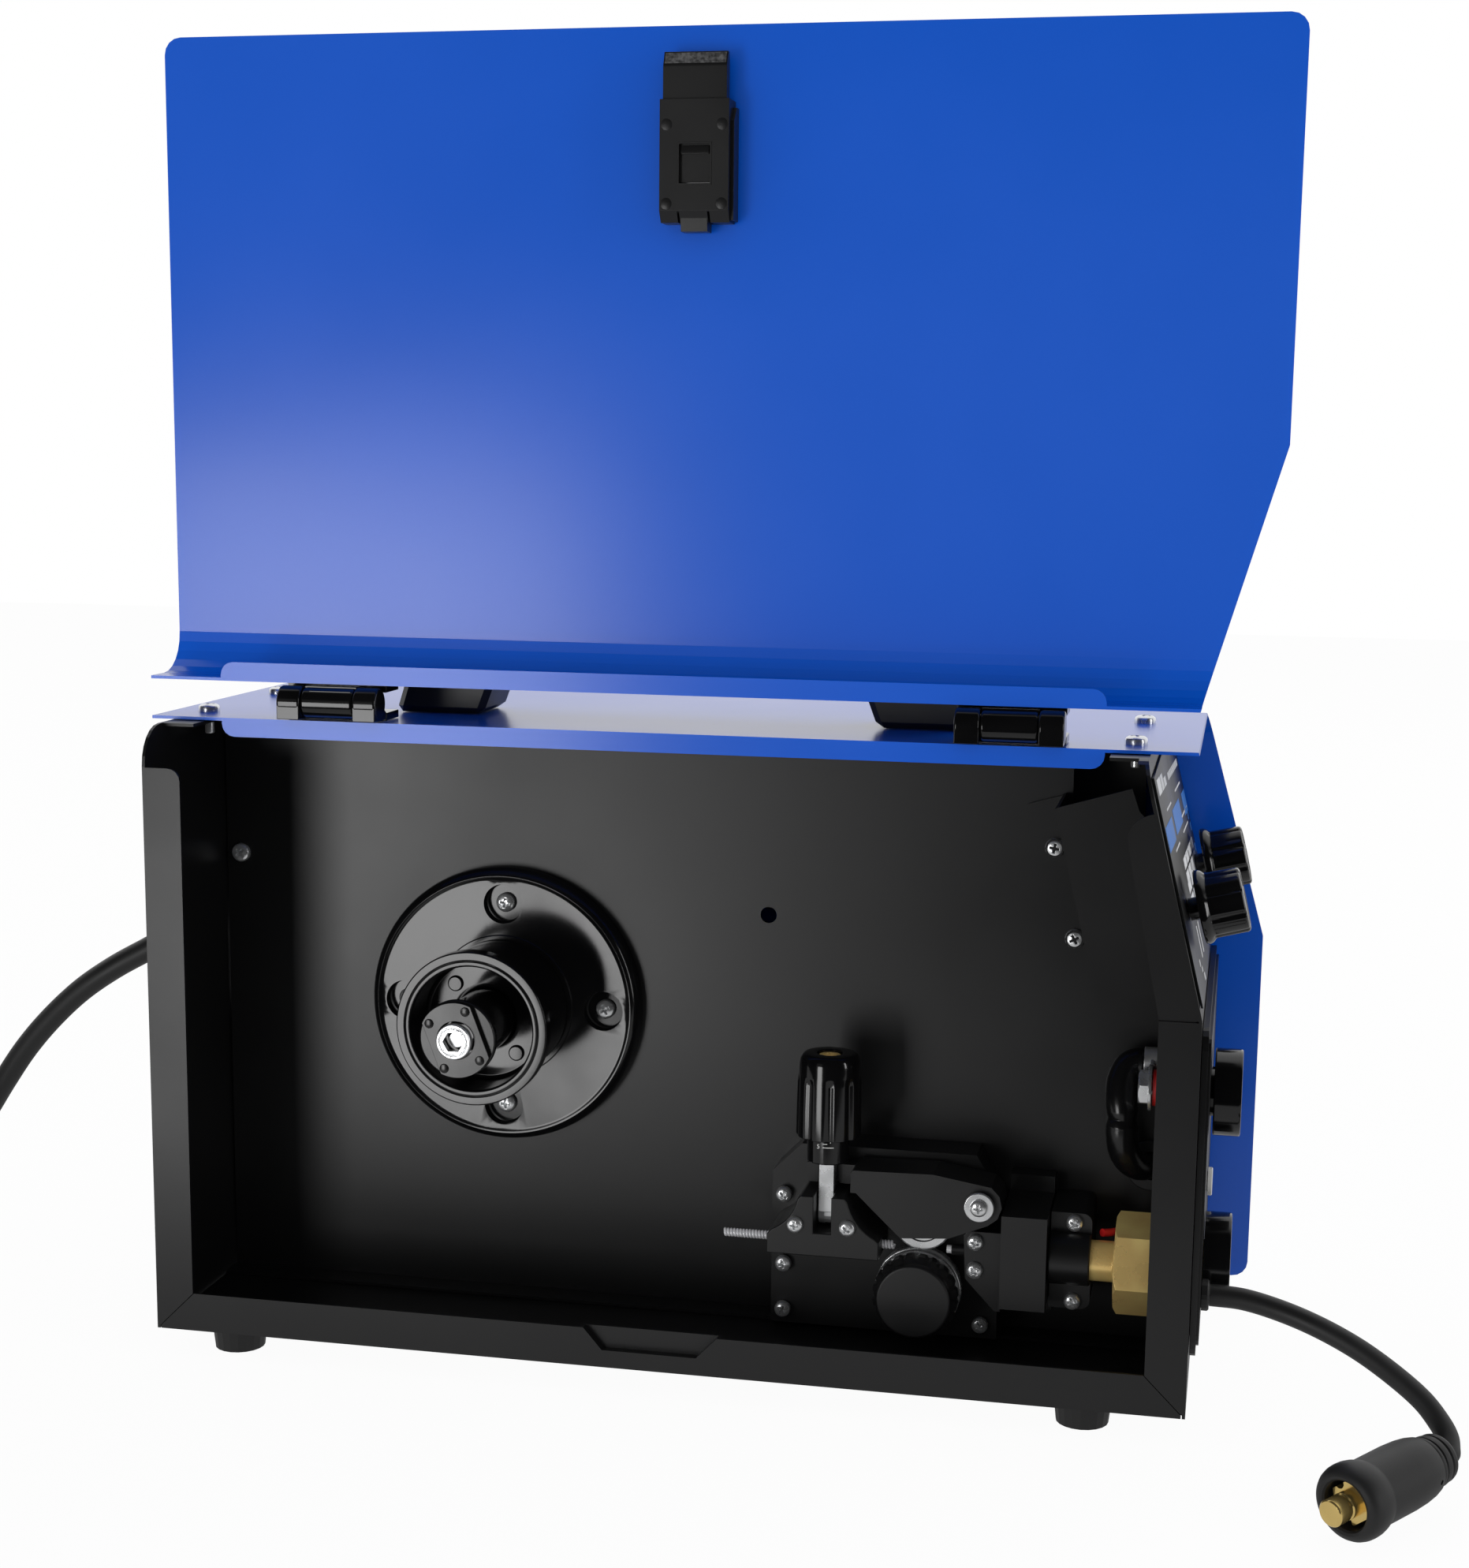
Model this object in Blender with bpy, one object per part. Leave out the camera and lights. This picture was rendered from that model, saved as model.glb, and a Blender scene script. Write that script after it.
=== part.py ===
"""MIG welder standing open: a folded steel case with a wire-feed compartment, its side door swung up.

Lengths are in millimetres until a mesh is made. In the design axes X runs from the rear panel to the
front panel, Y from the open side to the far side cover and Z up from the underside of the base tray.
The finished object has its origin on the ground under the middle of the case.
"""
import math

import bmesh
import bpy
from mathutils import Vector

MM = 0.001

# Case
CASE_L = 400.0        # outside of the rear panel to outside of the front panel
CASE_H = 239.9        # underside of the base to the top of the cover
COVER_Y = 178.0       # outer face of the far side cover
PANEL_Y = 176.4       # far edge of the base and of the two end panels
SHEET = 1.2
GAP = 0.3
FOLD = 15.2           # width of the folded edges that face the open side
CORNER_R = 15.0       # rolled top edge on the open side
FAR_R = 12.0          # rolled top edge on the far side
PANEL_TOP = CASE_H - SHEET - GAP
SLOPE_Z = 147.5       # height at which the front panel starts to lean back
SLOPE_TOP_X = 377.3
FOOT_H = 11.0

# Top cover and door: both are one folded sheet with the same side outline
COVER_X0 = -8.0
NOSE_X = 421.3
NOSE_KINK_Z = 145.4
COVER_TOP_X = 394.3
COVER_LOW_Z = -4.0
COVER_EDGE_Y = 27.4   # edge of the fixed top strip
HINGE_Y = 27.1
HINGE_Z = 247.1
KNUCKLE_R = 6.3
HINGE_W = 40.0
HINGE_XS = {"rear": 46.0, "front": 306.6}

# Wire compartment
WALL_Y = 74.0
HUB_X, HUB_Z = 122.5, 122.8
WIRE_Y, WIRE_Z = 42.0, 43.3
ROLLER_X = 296.3
DRIVE_R = 16.5
DRIVE_Z = WIRE_Z - 0.4 - DRIVE_R
IDLER_X, IDLER_R = 298.0, 11.6
IDLER_Z = WIRE_Z + 0.4 + IDLER_R
ARM_X, ARM_Z = 320.0, 64.2
LEVER_X, LEVER_Z = 260.2, 54.0

# Front and rear fittings: centres on the panels
SOCKET_Y, SOCKET_Z = 50.0, 110.0
TORCH_Z = 47.6         # the collar sits a little above the wire line
LEAD_Y, LEAD_Z = 18.0, 41.5
TRIGGER_Y, TRIGGER_Z = 62.0, 71.5
KNOB_YS = {"near": 38.0, "far": 140.0}
KNOB_UP = 34.5        # distance of the knob shafts up the slope from its lower bend
MAINS_Y, MAINS_Z = 120.0, 137.5
FAN_Y, FAN_Z = 120.0, 68.0
SWITCH_Y, SWITCH_Z = 120.0, 195.0
ROCKER_X = 1.5        # depth of the switch rocker's pivot behind the rear face
GAS_Y, GAS_Z = 154.0, 137.5
GAS_TIP = -21.0
LUG_Y, LUG_Z = 62.6, 116.4

# Cords
GLAND_END = -24.0     # tip of the mains lead's strain relief
INNER_R = 5.0
CABLE_HOLE = (382.0, 72.8)   # x, z where the inner cable goes through the partition wall
LEAD_R = 4.0
MAINS_R = 5.2

# Origin of the finished object in the design axes
ORIGIN = Vector(((GAS_TIP + NOSE_X) / 2, COVER_Y / 2, -FOOT_H))

SLOPE = Vector((SLOPE_TOP_X - CASE_L, PANEL_TOP - SLOPE_Z)).normalized()
SLOPE_OUT = Vector((SLOPE.y, -SLOPE.x))


# ------------------------------------------------------------------------------- modelling helpers

def material(name, colour, roughness, metallic=0.0):
    """One plain Principled material."""
    made = bpy.data.materials.new(name)
    made.use_nodes = True
    shader = made.node_tree.nodes["Principled BSDF"]
    shader.inputs["Base Color"].default_value = (*colour, 1.0)
    shader.inputs["Roughness"].default_value = roughness
    shader.inputs["Metallic"].default_value = metallic
    return made


def add_object(name, bm):
    """Turn a bmesh in design millimetres into an object whose origin is the design origin."""
    bmesh.ops.remove_doubles(bm, verts=bm.verts, dist=1e-4)
    bmesh.ops.recalc_face_normals(bm, faces=bm.faces)
    mesh = bpy.data.meshes.new(name)
    bm.to_mesh(mesh)
    bm.free()
    made = bpy.data.objects.new(name, mesh)
    bpy.context.collection.objects.link(made)
    return made


def from_plane(axis, u, v, w):
    """Design point from coordinates u, v in the plane across an axis and w along it."""
    return {"x": (w, u, v), "y": (u, w, v), "z": (u, v, w)}[axis]


def prism(outline, axis, low, high):
    """Outline of (u, v) points pushed along an axis from low to high."""
    bm = bmesh.new()
    ends = [[bm.verts.new(from_plane(axis, u, v, w)) for u, v in outline] for w in (low, high)]
    bm.faces.new(ends[0])
    bm.faces.new(ends[1])
    for i in range(len(outline)):
        j = (i + 1) % len(outline)
        bm.faces.new((ends[0][i], ends[0][j], ends[1][j], ends[1][i]))
    return add_object("solid", bm)


def box(x, y, z):
    """Box between pairs of limits."""
    return prism([(x[0], y[0]), (x[1], y[0]), (x[1], y[1]), (x[0], y[1])], "z", *z)


def turned(profile, axis, u, v, segments=24, phase=0.0):
    """Closed profile of (radius, along) points turned about an axis through (u, v)."""
    bm = bmesh.new()
    rings = []
    for radius, along in profile:
        if radius < 1e-6:
            rings.append([bm.verts.new(from_plane(axis, u, v, along))])
            continue
        angles = [phase + math.tau * k / segments for k in range(segments)]
        rings.append([bm.verts.new(from_plane(axis, u + radius * math.cos(a), v + radius * math.sin(a),
                                              along)) for a in angles])
    for i, ring in enumerate(rings):
        after = rings[(i + 1) % len(rings)]
        if len(ring) == 1 and len(after) == 1:
            continue
        for k in range(segments):
            m = (k + 1) % segments
            corners = [ring[k % len(ring)], ring[m % len(ring)], after[m % len(after)],
                       after[k % len(after)]]
            unique = [c for n, c in enumerate(corners) if c not in corners[:n]]
            bm.faces.new(unique)
    return add_object("solid", bm)


def rod(radius, axis, u, v, low, high, segments=16, phase=0.0):
    """Solid cylinder along an axis."""
    return turned([(0, low), (radius, low), (radius, high), (0, high)], axis, u, v, segments, phase)


def combine(base, tools, operation):
    """Boolean that leaves the result in base and removes the tools."""
    for tool in tools:
        step = base.modifiers.new("step", "BOOLEAN")
        step.operation = operation
        step.solver = "EXACT"
        step.object = tool
    bpy.context.view_layer.update()
    result = bpy.data.meshes.new_from_object(base.evaluated_get(bpy.context.evaluated_depsgraph_get()))
    base.modifiers.clear()
    base.data = result
    for tool in tools:
        bpy.data.objects.remove(tool)
    return base


def join(base, *tools):
    return combine(base, tools, "UNION")


def cut(base, *tools):
    return combine(base, tools, "DIFFERENCE")


def rounded(corners, steps=4):
    """Outline from (u, v) or (u, v, radius) corners, with arcs of the given radius."""
    outline = []
    count = len(corners)
    for i, corner in enumerate(corners):
        here = Vector(corner[:2])
        radius = corner[2] if len(corner) > 2 else 0.0
        if not radius:
            outline.append(tuple(here))
            continue
        before = (Vector(corners[i - 1][:2]) - here).normalized()
        after = (Vector(corners[(i + 1) % count][:2]) - here).normalized()
        half = before.angle(after) / 2
        middle = here + (before + after).normalized() * radius / math.sin(half)
        start = here + before * radius / math.tan(half) - middle
        sweep = math.pi - 2 * half
        side = 1.0 if before.cross(after) < 0 else -1.0
        for k in range(steps + 1):
            a = side * sweep * k / steps
            turn = Vector((start.x * math.cos(a) - start.y * math.sin(a),
                           start.x * math.sin(a) + start.y * math.cos(a)))
            outline.append(tuple(middle + turn))
    return outline


def rectangle(u, v, radius=0.0):
    """Corners of a rectangle, for rounded()."""
    return [(u[0], v[0], radius), (u[1], v[0], radius), (u[1], v[1], radius), (u[0], v[1], radius)]


def on_slope(up, out):
    """Design (x, z) of a point up the leaning front face and out from it."""
    return (CASE_L + SLOPE.x * up + SLOPE_OUT.x * out, SLOPE_Z + SLOPE.y * up + SLOPE_OUT.y * out)


def lean(piece, up, y):
    """Stand a piece built on the Z axis at the origin square to the leaning front face, +X down it."""
    x, z = on_slope(up, 0.0)
    for vert in piece.data.vertices:
        down, across, out = vert.co
        vert.co = (x - down * SLOPE.x + out * SLOPE_OUT.x, y + across,
                   z - down * SLOPE.y + out * SLOPE_OUT.y)
    return piece


def finish(piece, name, look, pivot=None, smooth=30.0, bevel=0.0):
    """Name a piece, give it its material and put its origin on its joint axis, in metres."""
    pivot = Vector(pivot) if pivot else ORIGIN.copy()
    for vert in piece.data.vertices:
        vert.co = (vert.co - pivot) * MM
    piece.location = (pivot - ORIGIN) * MM
    piece.name = piece.data.name = name
    piece.data.materials.clear()
    piece.data.materials.append(look)
    piece.data.shade_smooth()
    piece.data.set_sharp_from_angle(angle=math.radians(smooth))
    if bevel:
        edge = piece.modifiers.new("edges", "BEVEL")
        edge.width = bevel * MM
        edge.segments = 1
        edge.limit_method = "ANGLE"
        edge.angle_limit = math.radians(40)
    return piece


# ------------------------------------------------------------------------------------------ materials

for stale in list(bpy.data.objects):
    bpy.data.objects.remove(stale)

BLUE = material("blue_powder_coat", (0.012, 0.095, 0.50), 0.22)
BLACK_STEEL = material("black_powder_coat", (0.018, 0.018, 0.020), 0.48)
GLOSS = material("gloss_black_plastic", (0.012, 0.012, 0.013), 0.18)
MATT = material("matt_black_plastic", (0.022, 0.022, 0.024), 0.55)
RUBBER = material("black_rubber", (0.020, 0.020, 0.021), 0.75)
BRASS = material("brass", (0.62, 0.45, 0.18), 0.35, 1.0)
ZINC = material("bright_zinc", (0.72, 0.73, 0.74), 0.28, 1.0)
ALLOY = material("bare_aluminium", (0.62, 0.62, 0.63), 0.40, 1.0)
RED = material("red_fibre", (0.55, 0.02, 0.02), 0.45)
WHITE = material("white_plastic", (0.80, 0.80, 0.78), 0.40)


# ------------------------------------------------------------------------------------------- the case

def base_tray():
    """Floor with folded edges; the near one has a pressed pocket that the door latch drops behind."""
    low, high = SHEET + 0.4, CASE_L - SHEET - 0.4
    floor = box((low, high), (0, PANEL_Y), (0, SHEET))
    near = prism([(low, 0), (high, 0), (high, SHEET), (CASE_L - FOLD - 0.4, FOLD),
                  (FOLD + 0.4, FOLD), (low, SHEET)], "y", 0, SHEET)
    far = box((low, high), (PANEL_Y - SHEET, PANEL_Y), (0, FOLD))
    pocket = prism([(172.6, FOLD), (180.0, 5.4), (219.5, 5.4), (227.4, FOLD)], "y", 0.6, 4.7)
    hollow = prism([(174.0, FOLD + 1), (174.0, FOLD), (181.3, 6.8), (218.0, 6.8), (226.0, FOLD),
                    (226.0, FOLD + 1)], "y", -1, 3.5)
    return finish(cut(join(floor, near, far, pocket), hollow), "base_tray", BLACK_STEEL)


def rear_panel():
    """Rear sheet, folded edges, top fold and the openings for fan, mains, gas and switch."""
    sheet = prism(rounded([(0, 0), (PANEL_Y, 0), (PANEL_Y, PANEL_TOP, FAR_R), (0, PANEL_TOP, CORNER_R)],
                          steps=6), "x", 0, SHEET)
    near = prism(rounded([(0, 0.02), (FOLD, FOLD + 0.02), (FOLD, 223, 5.0), (0, 223)]), "y", 0, SHEET)
    far = box((0, FOLD), (PANEL_Y - SHEET, PANEL_Y), (FOLD + 0.5, 223))
    top = box((0, 14), (CORNER_R + 1.5, PANEL_Y - FAR_R), (PANEL_TOP - SHEET, PANEL_TOP))
    fan_hole = rod(37.0, "x", FAN_Y, FAN_Z, -1, 3, 28)
    gland_hole = rod(8.3, "x", MAINS_Y, MAINS_Z, -1, 3, 16)
    gas_hole = rod(5.3, "x", GAS_Y, GAS_Z, -1, 3, 16)
    switch_hole = box((-1, 3), (SWITCH_Y - 10.8, SWITCH_Y + 10.8), (SWITCH_Z - 14, SWITCH_Z + 14))
    panel = cut(join(sheet, near, far, top), fan_hole, gland_hole, gas_hole, switch_hole)
    return finish(panel, "rear_panel", BLACK_STEEL)


def front_panel():
    """Front sheet: upright below, leaning back above, folded edges and openings for the fittings."""
    inner_bend = (CASE_L - SHEET, SLOPE_Z - 0.15)
    inner_top = (SLOPE_TOP_X - SHEET * 0.9, PANEL_TOP - SHEET)
    fold_x = SLOPE_TOP_X - 14
    sheet = prism([(CASE_L, 0), (CASE_L, SLOPE_Z), (SLOPE_TOP_X, PANEL_TOP), (fold_x, PANEL_TOP),
                   (fold_x, PANEL_TOP - SHEET), inner_top, inner_bend, (CASE_L - SHEET, 0)],
                  "y", 0, PANEL_Y)
    corner = cut(box((360, 402), (-1, CORNER_R), (PANEL_TOP - CORNER_R, PANEL_TOP + 1)),
                 rod(CORNER_R, "x", CORNER_R, PANEL_TOP - CORNER_R, 355, 405, 32))
    far_corner = cut(box((360, 402), (PANEL_Y - FAR_R, PANEL_Y + 1), (PANEL_TOP - FAR_R, PANEL_TOP + 1)),
                     rod(FAR_R, "x", PANEL_Y - FAR_R, PANEL_TOP - FAR_R, 355, 405, 32))
    tab_gap = box((360, SLOPE_TOP_X - 3.5), (-1, CORNER_R + 1.5), (PANEL_TOP - 2.4, PANEL_TOP + 1))
    low_fold = prism([(CASE_L, 0.02), (CASE_L, SLOPE_Z - 0.3), (CASE_L - FOLD, SLOPE_Z - 0.3),
                      (CASE_L - FOLD, FOLD + 0.02)], "y", 0, SHEET)
    high_fold = prism(rounded([(CASE_L, SLOPE_Z + 0.3), on_slope(76, 0), (*on_slope(76, -12), 9.0),
                               (CASE_L - FOLD, SLOPE_Z + 0.3)]), "y", 0, SHEET)
    far_fold = box((CASE_L - FOLD, CASE_L), (PANEL_Y - SHEET, PANEL_Y), (FOLD + 0.5, SLOPE_Z - 2))
    holes = [rod(9.6, "x", SOCKET_Y, SOCKET_Z, 390, 405, 20), rod(11.8, "x", WIRE_Y, WIRE_Z, 390, 405, 24),
             rod(5.2, "x", LEAD_Y, LEAD_Z, 390, 405, 16), rod(4.3, "x", TRIGGER_Y, TRIGGER_Z, 390, 405, 16)]
    holes += [lean(rod(4.2, "z", 0, 0, -6, 6, 16), KNOB_UP, y) for y in KNOB_YS.values()]
    panel = cut(join(cut(sheet, corner, far_corner, tab_gap), low_fold, high_fold, far_fold), *holes)
    return finish(panel, "front_panel", BLACK_STEEL)


def partition_wall():
    """Sheet between the wire compartment and the power side, with a fold standing on the floor."""
    outline = [(1.9, 1.5), (CASE_L - 3.2, 1.5), (CASE_L - 3.2, 140), (367, 140), (347, 214), (347, 236.5),
               (1.9, 236.5)]
    wall = prism(outline, "y", WALL_Y, WALL_Y + SHEET)
    foot = box((1.9, CASE_L - 3.2), (WALL_Y - 12, WALL_Y + 0.5), (1.5, 1.5 + SHEET))
    holes = [rod(3.3, "y", 229.3, 163.8, 70, 80, 16), rod(17.0, "y", ROLLER_X, DRIVE_Z + 6, 70, 80, 24),
             rod(9.0, "y", *CABLE_HOLE, 70, 80)]
    return finish(cut(join(wall, foot), *holes), "partition_wall", BLACK_STEEL)


def side_outline():
    """Side view of the cover and of the door, (x, z), running past the top."""
    top = CASE_H + 6
    top_x = COVER_TOP_X - (top - CASE_H) * (NOSE_X - COVER_TOP_X) / (CASE_H - NOSE_KINK_Z)
    return rounded([(COVER_X0, COVER_LOW_Z, 6.5), (NOSE_X, COVER_LOW_Z, 6.5), (NOSE_X, NOSE_KINK_Z, 3.0),
                    (top_x, top), (COVER_X0, top)])


BEND_STEPS = 6


def folded_cover(outer_y, edge_y, bend_r, lip_y):
    """Side sheet at outer_y rolled over into a top strip that ends at edge_y with a turned-down lip."""
    way = 1.0 if outer_y > edge_y else -1.0
    middle_y, middle_z = outer_y - way * bend_r, CASE_H - bend_r
    def roll(radius, order):
        angles = [math.pi / 2 * k / BEND_STEPS for k in order]
        return [(middle_y + way * radius * math.sin(a), middle_z + radius * math.cos(a)) for a in angles]
    section = [(edge_y, CASE_H), *roll(bend_r, range(BEND_STEPS + 1)), (outer_y, COVER_LOW_Z - 4),
               (outer_y - way * SHEET, COVER_LOW_Z - 4),
               *roll(bend_r - SHEET, range(BEND_STEPS, -1, -1)), (edge_y, CASE_H - SHEET)]
    strip = prism(section, "x", COVER_X0 - 5, NOSE_X + 5)
    body = combine(strip, [prism(side_outline(), "y", -20, COVER_Y + 20)], "INTERSECT")
    lip = prism(rounded([(21, CASE_H - 0.6), (21, 232.6, 5.0), (361, 232.6, 5.0), (361, CASE_H - 0.6)]),
                "y", *lip_y)
    return join(body, lip)


def top_side_cover():
    """Fixed cover: top strip, far bend and far side, with vent slots and four screw heads."""
    cover = folded_cover(COVER_Y, COVER_EDGE_Y, 12.0, (COVER_EDGE_Y, COVER_EDGE_Y + SHEET))
    slots = [box((x, x + 60), (COVER_Y - 5, COVER_Y + 5), (z, z + 3.6))
             for x in (40, 280) for z in range(40, 121, 20)]
    heads = [turned([(0, CASE_H - 0.5), (4.2, CASE_H - 0.5), (4.2, CASE_H + 0.8), (2.6, CASE_H + 2.5),
                     (0, CASE_H + 2.5)], "z", x, y, 10) for x in (6.8, 371.2) for y in (48.0, 120.0)]
    return finish(join(cut(cover, *slots), *heads), "top_side_cover", BLUE)


def carry_handle():
    """Bridge handle on the cover."""
    foot_z = CASE_H + GAP
    outline = rounded([(78, foot_z), (91, 282, 16.0), (295, 282, 16.0), (308, foot_z), (272, foot_z),
                       (263, 264, 9.0), (123, 264, 9.0), (114, foot_z)])
    return finish(prism(outline, "y", 66, 98), "carry_handle", MATT, bevel=2.5)


def foot(name, x, y):
    return finish(turned([(0, -FOOT_H), (9.8, -FOOT_H), (11.0, -GAP), (0, -GAP)], "z", x, y, 20), name, RUBBER)


# ----------------------------------------------------------------------------------- door and latch

def swing_open(piece):
    """Turn a piece built in the closed place half a turn about the hinge axis."""
    for vert in piece.data.vertices:
        vert.co = (vert.co.x, 2 * HINGE_Y - vert.co.y, 2 * HINGE_Z - vert.co.z)
    return piece


DOOR_IN, DOOR_OUT = -0.3, -1.5   # faces of the closed door's side sheet
HINGE_LINE = (193.0, HINGE_Y, HINGE_Z)
LATCH_X = 203.3


def cover_door():
    """Hinged side with the rolled top edge, its lip and the slot for the latch pad's neck."""
    door = folded_cover(DOOR_OUT, COVER_EDGE_Y - 0.6, CORNER_R + 1.5,
                        (COVER_EDGE_Y - 0.6 - SHEET, COVER_EDGE_Y - 0.6))
    slot = box((LATCH_X - 4.9, LATCH_X + 4.9), (-4, 3), (37, 60.5))
    return finish(swing_open(cut(door, slot)), "cover_door", BLUE, HINGE_LINE)


def latch_housing():
    """Channel on the door that the bolt slides in, with a window, and a spring seat at its end."""
    body = box((LATCH_X - 14.7, LATCH_X + 14.7), (0, 11.6), (23.5, 67.2))
    seat = box((LATCH_X - 5.5, LATCH_X + 5.5), (0, 9), (67.0, 70.4))
    channel = box((LATCH_X - 12.6, LATCH_X + 12.6), (4.8, 10.4), (20, 63.5))
    neck_way = box((LATCH_X - 5.6, LATCH_X + 5.6), (-1, 6), (36, 62))
    window = box((LATCH_X - 6.2, LATCH_X + 6.2), (10, 13), (39, 53.0))
    housing = cut(join(body, seat), channel, neck_way, window)
    return finish(swing_open(housing), "latch_housing", GLOSS, HINGE_LINE)


def latch_bolt():
    """Sliding bolt with a chamfered tip, a neck through the door and a thumb pad outside."""
    side = [(5.2, 9.4), (5.2, 50), (10.0, 50), (10.0, 5.9), (7.8, 5.9)]
    bolt = prism(side, "x", LATCH_X - 12.2, LATCH_X + 12.2)
    neck = box((LATCH_X - 4.2, LATCH_X + 4.2), (-4, 6), (38, 48))
    pad = prism(rounded(rectangle((LATCH_X - 9, LATCH_X + 9), (32, 54), 3.0)), "y", -6.5, -2.2)
    pivot = (LATCH_X, 2 * HINGE_Y - 7.6, 2 * HINGE_Z - 28)
    return finish(swing_open(join(bolt, neck, pad)), "latch_bolt", GLOSS, pivot)


def hinge_leaves(place, x):
    """Butt hinge: fixed leaf with two knuckles and the pin, door leaf with the barrel between them."""
    last = x + HINGE_W
    inner = (x + 9.6, last - 9.6)
    clear = HINGE_Y + KNUCKLE_R + 0.5
    low_plate = box((x, last), (clear, clear + 14), (CASE_H + GAP, CASE_H + GAP + 3))
    for a, b in ((x, inner[0] - 0.2), (inner[1] + 0.2, last)):
        arm = box((a, b), (HINGE_Y, clear + 1), (CASE_H + GAP + 0.6, CASE_H + GAP + 3))
        low_plate = join(low_plate, arm, rod(KNUCKLE_R, "x", HINGE_Y, HINGE_Z, a, b, 20))
    fixed = join(low_plate, rod(2.4, "x", HINGE_Y, HINGE_Z, x + 4, last - 4, 12))
    finish(fixed, f"hinge_leaf_fixed_{place}", GLOSS)
    high = 2 * HINGE_Z - CASE_H - GAP
    plate = box((x, last), (clear, clear + 14), (high - 3, high))
    arm = box(inner, (HINGE_Y, clear + 1), (high - 3, high - 0.6))
    barrel = rod(KNUCKLE_R, "x", HINGE_Y, HINGE_Z, *inner, 20)
    moving = cut(join(plate, arm, barrel), rod(2.8, "x", HINGE_Y, HINGE_Z, x, last, 12))
    finish(moving, f"hinge_leaf_door_{place}", GLOSS, HINGE_LINE)


# ------------------------------------------------------------------------------------------ wire spool

def spool_base():
    """Disc on the partition wall with four counterbored screws, the spindle and its socket head bolt."""
    back = WALL_Y - GAP
    profile = [(0, back), (56, back), (56, back - 4.5), (52, back - 8.4), (29, back - 8.4),
               (27.5, back - 9.6), (12, back - 9.6), (12, 10.2), (3.1, 10.2), (3.1, 4.3), (6.9, 4.3),
               (6.9, 2.2), (6.4, 1.8), (0, 1.8)]
    disc = turned(profile, "y", HUB_X, HUB_Z)
    spots = [(HUB_X + 41.5 * math.cos(a), HUB_Z + 41.5 * math.sin(a))
             for a in (math.pi / 2 * k for k in range(4))]
    disc = cut(disc, *[rod(8.0, "y", x, z, back - 12, back - 2.2, 12) for x, z in spots])
    heads = [rod(3.8, "y", x, z, back - 4.6, back - 1.5, 8) for x, z in spots]
    return finish(cut(join(disc, *heads), rod(4.0, "y", HUB_X, HUB_Z, 0, 3.6, 6)), "spool_base", GLOSS)


def spool_sleeve():
    """Barrel that carries the wire spool, with its end ring and two moulded pips on the inner floor."""
    profile = [(12.5, 44), (24, 44), (24, 24.4), (30.4, 23.6), (30.4, 29), (27, 30), (27, 63.4), (12.5, 63.4)]
    sleeve = turned(profile, "y", HUB_X, HUB_Z)
    pips = [rod(3.2, "y", HUB_X + 18.2 * math.cos(a), HUB_Z + 18.2 * math.sin(a), 43.2, 46, 8)
            for a in (math.radians(133), math.radians(-47))]
    return finish(join(sleeve, *pips), "spool_sleeve", GLOSS, (HUB_X, 40, HUB_Z))


def lock_plate():
    """Turning catch in front of the spindle: a disc with a raised bar."""
    disc = rod(15.0, "y", HUB_X, HUB_Z, 6.9, 9.8, 24)
    along = math.radians(111)
    bar = []
    for middle in (along, along + math.pi):
        half = math.asin(10.3 / 14.6)
        bar += [(HUB_X + 14.6 * math.cos(middle + t), HUB_Z + 14.6 * math.sin(middle + t))
                for t in (half * k / 2 for k in range(-2, 3))]
    plate = join(disc, prism(bar, "y", 4.7, 7.4))
    return finish(cut(plate, rod(3.5, "y", HUB_X, HUB_Z, 0, 12, 12)), "lock_plate", MATT,
                  (HUB_X, 7, HUB_Z))


# ------------------------------------------------------------------------------------------ wire drive

FEED_FACE = 56.0     # front face of the feeder back plate


def feeder_plate():
    """Back plate with the pressure arm's pivot post and six screw heads."""
    outline = [(235.8, 3.3), (325.5, 3.3), (325.5, 62), (316, 77), (247.5, 77), (236, 65.3)]
    plate = prism(outline, "y", FEED_FACE, WALL_Y - GAP)
    post = rod(4.6, "y", ARM_X, ARM_Z, 31, FEED_FACE + 2)
    washer = rod(5.4, "y", ARM_X, ARM_Z, 30.4, 32.7)
    spots = [(241, 56.5), (241, 28.3), (241, 9.5), (316.4, 42.7), (316.4, 31.2), (319.2, 9.5)]
    heads = [rod(3.1, "y", x, z, FEED_FACE - 2.2, FEED_FACE + 1, 8) for x, z in spots]
    way = rod(6.0, "y", ROLLER_X, DRIVE_Z, 50, 80)
    return finish(cut(join(plate, post, washer, *heads), way), "feeder_plate", MATT)


def gear_motor():
    """Gearbox and motor behind the partition wall."""
    gearbox = box((272, 322), (WALL_Y + 2, 96), (6, 58))
    nose = rod(15.0, "y", ROLLER_X, DRIVE_Z + 6, WALL_Y, WALL_Y + 4)
    can = turned([(0, 95), (21, 95), (21, 146), (18, 149), (0, 149)], "y", 298, 34)
    return finish(join(gearbox, nose, can), "gear_motor", ALLOY)


def drive_roller():
    """Grooved drive roller on the motor shaft."""
    mid = WIRE_Y
    profile = [(0, mid - 5), (DRIVE_R, mid - 5), (DRIVE_R, mid - 0.7), (DRIVE_R - 0.6, mid),
               (DRIVE_R, mid + 0.7), (DRIVE_R, mid + 5), (5, mid + 5), (5, WALL_Y - 0.6),
               (0, WALL_Y - 0.6)]
    return finish(turned(profile, "y", ROLLER_X, DRIVE_Z, 28), "drive_roller", ZINC,
                  (ROLLER_X, WIRE_Y, DRIVE_Z))


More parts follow.
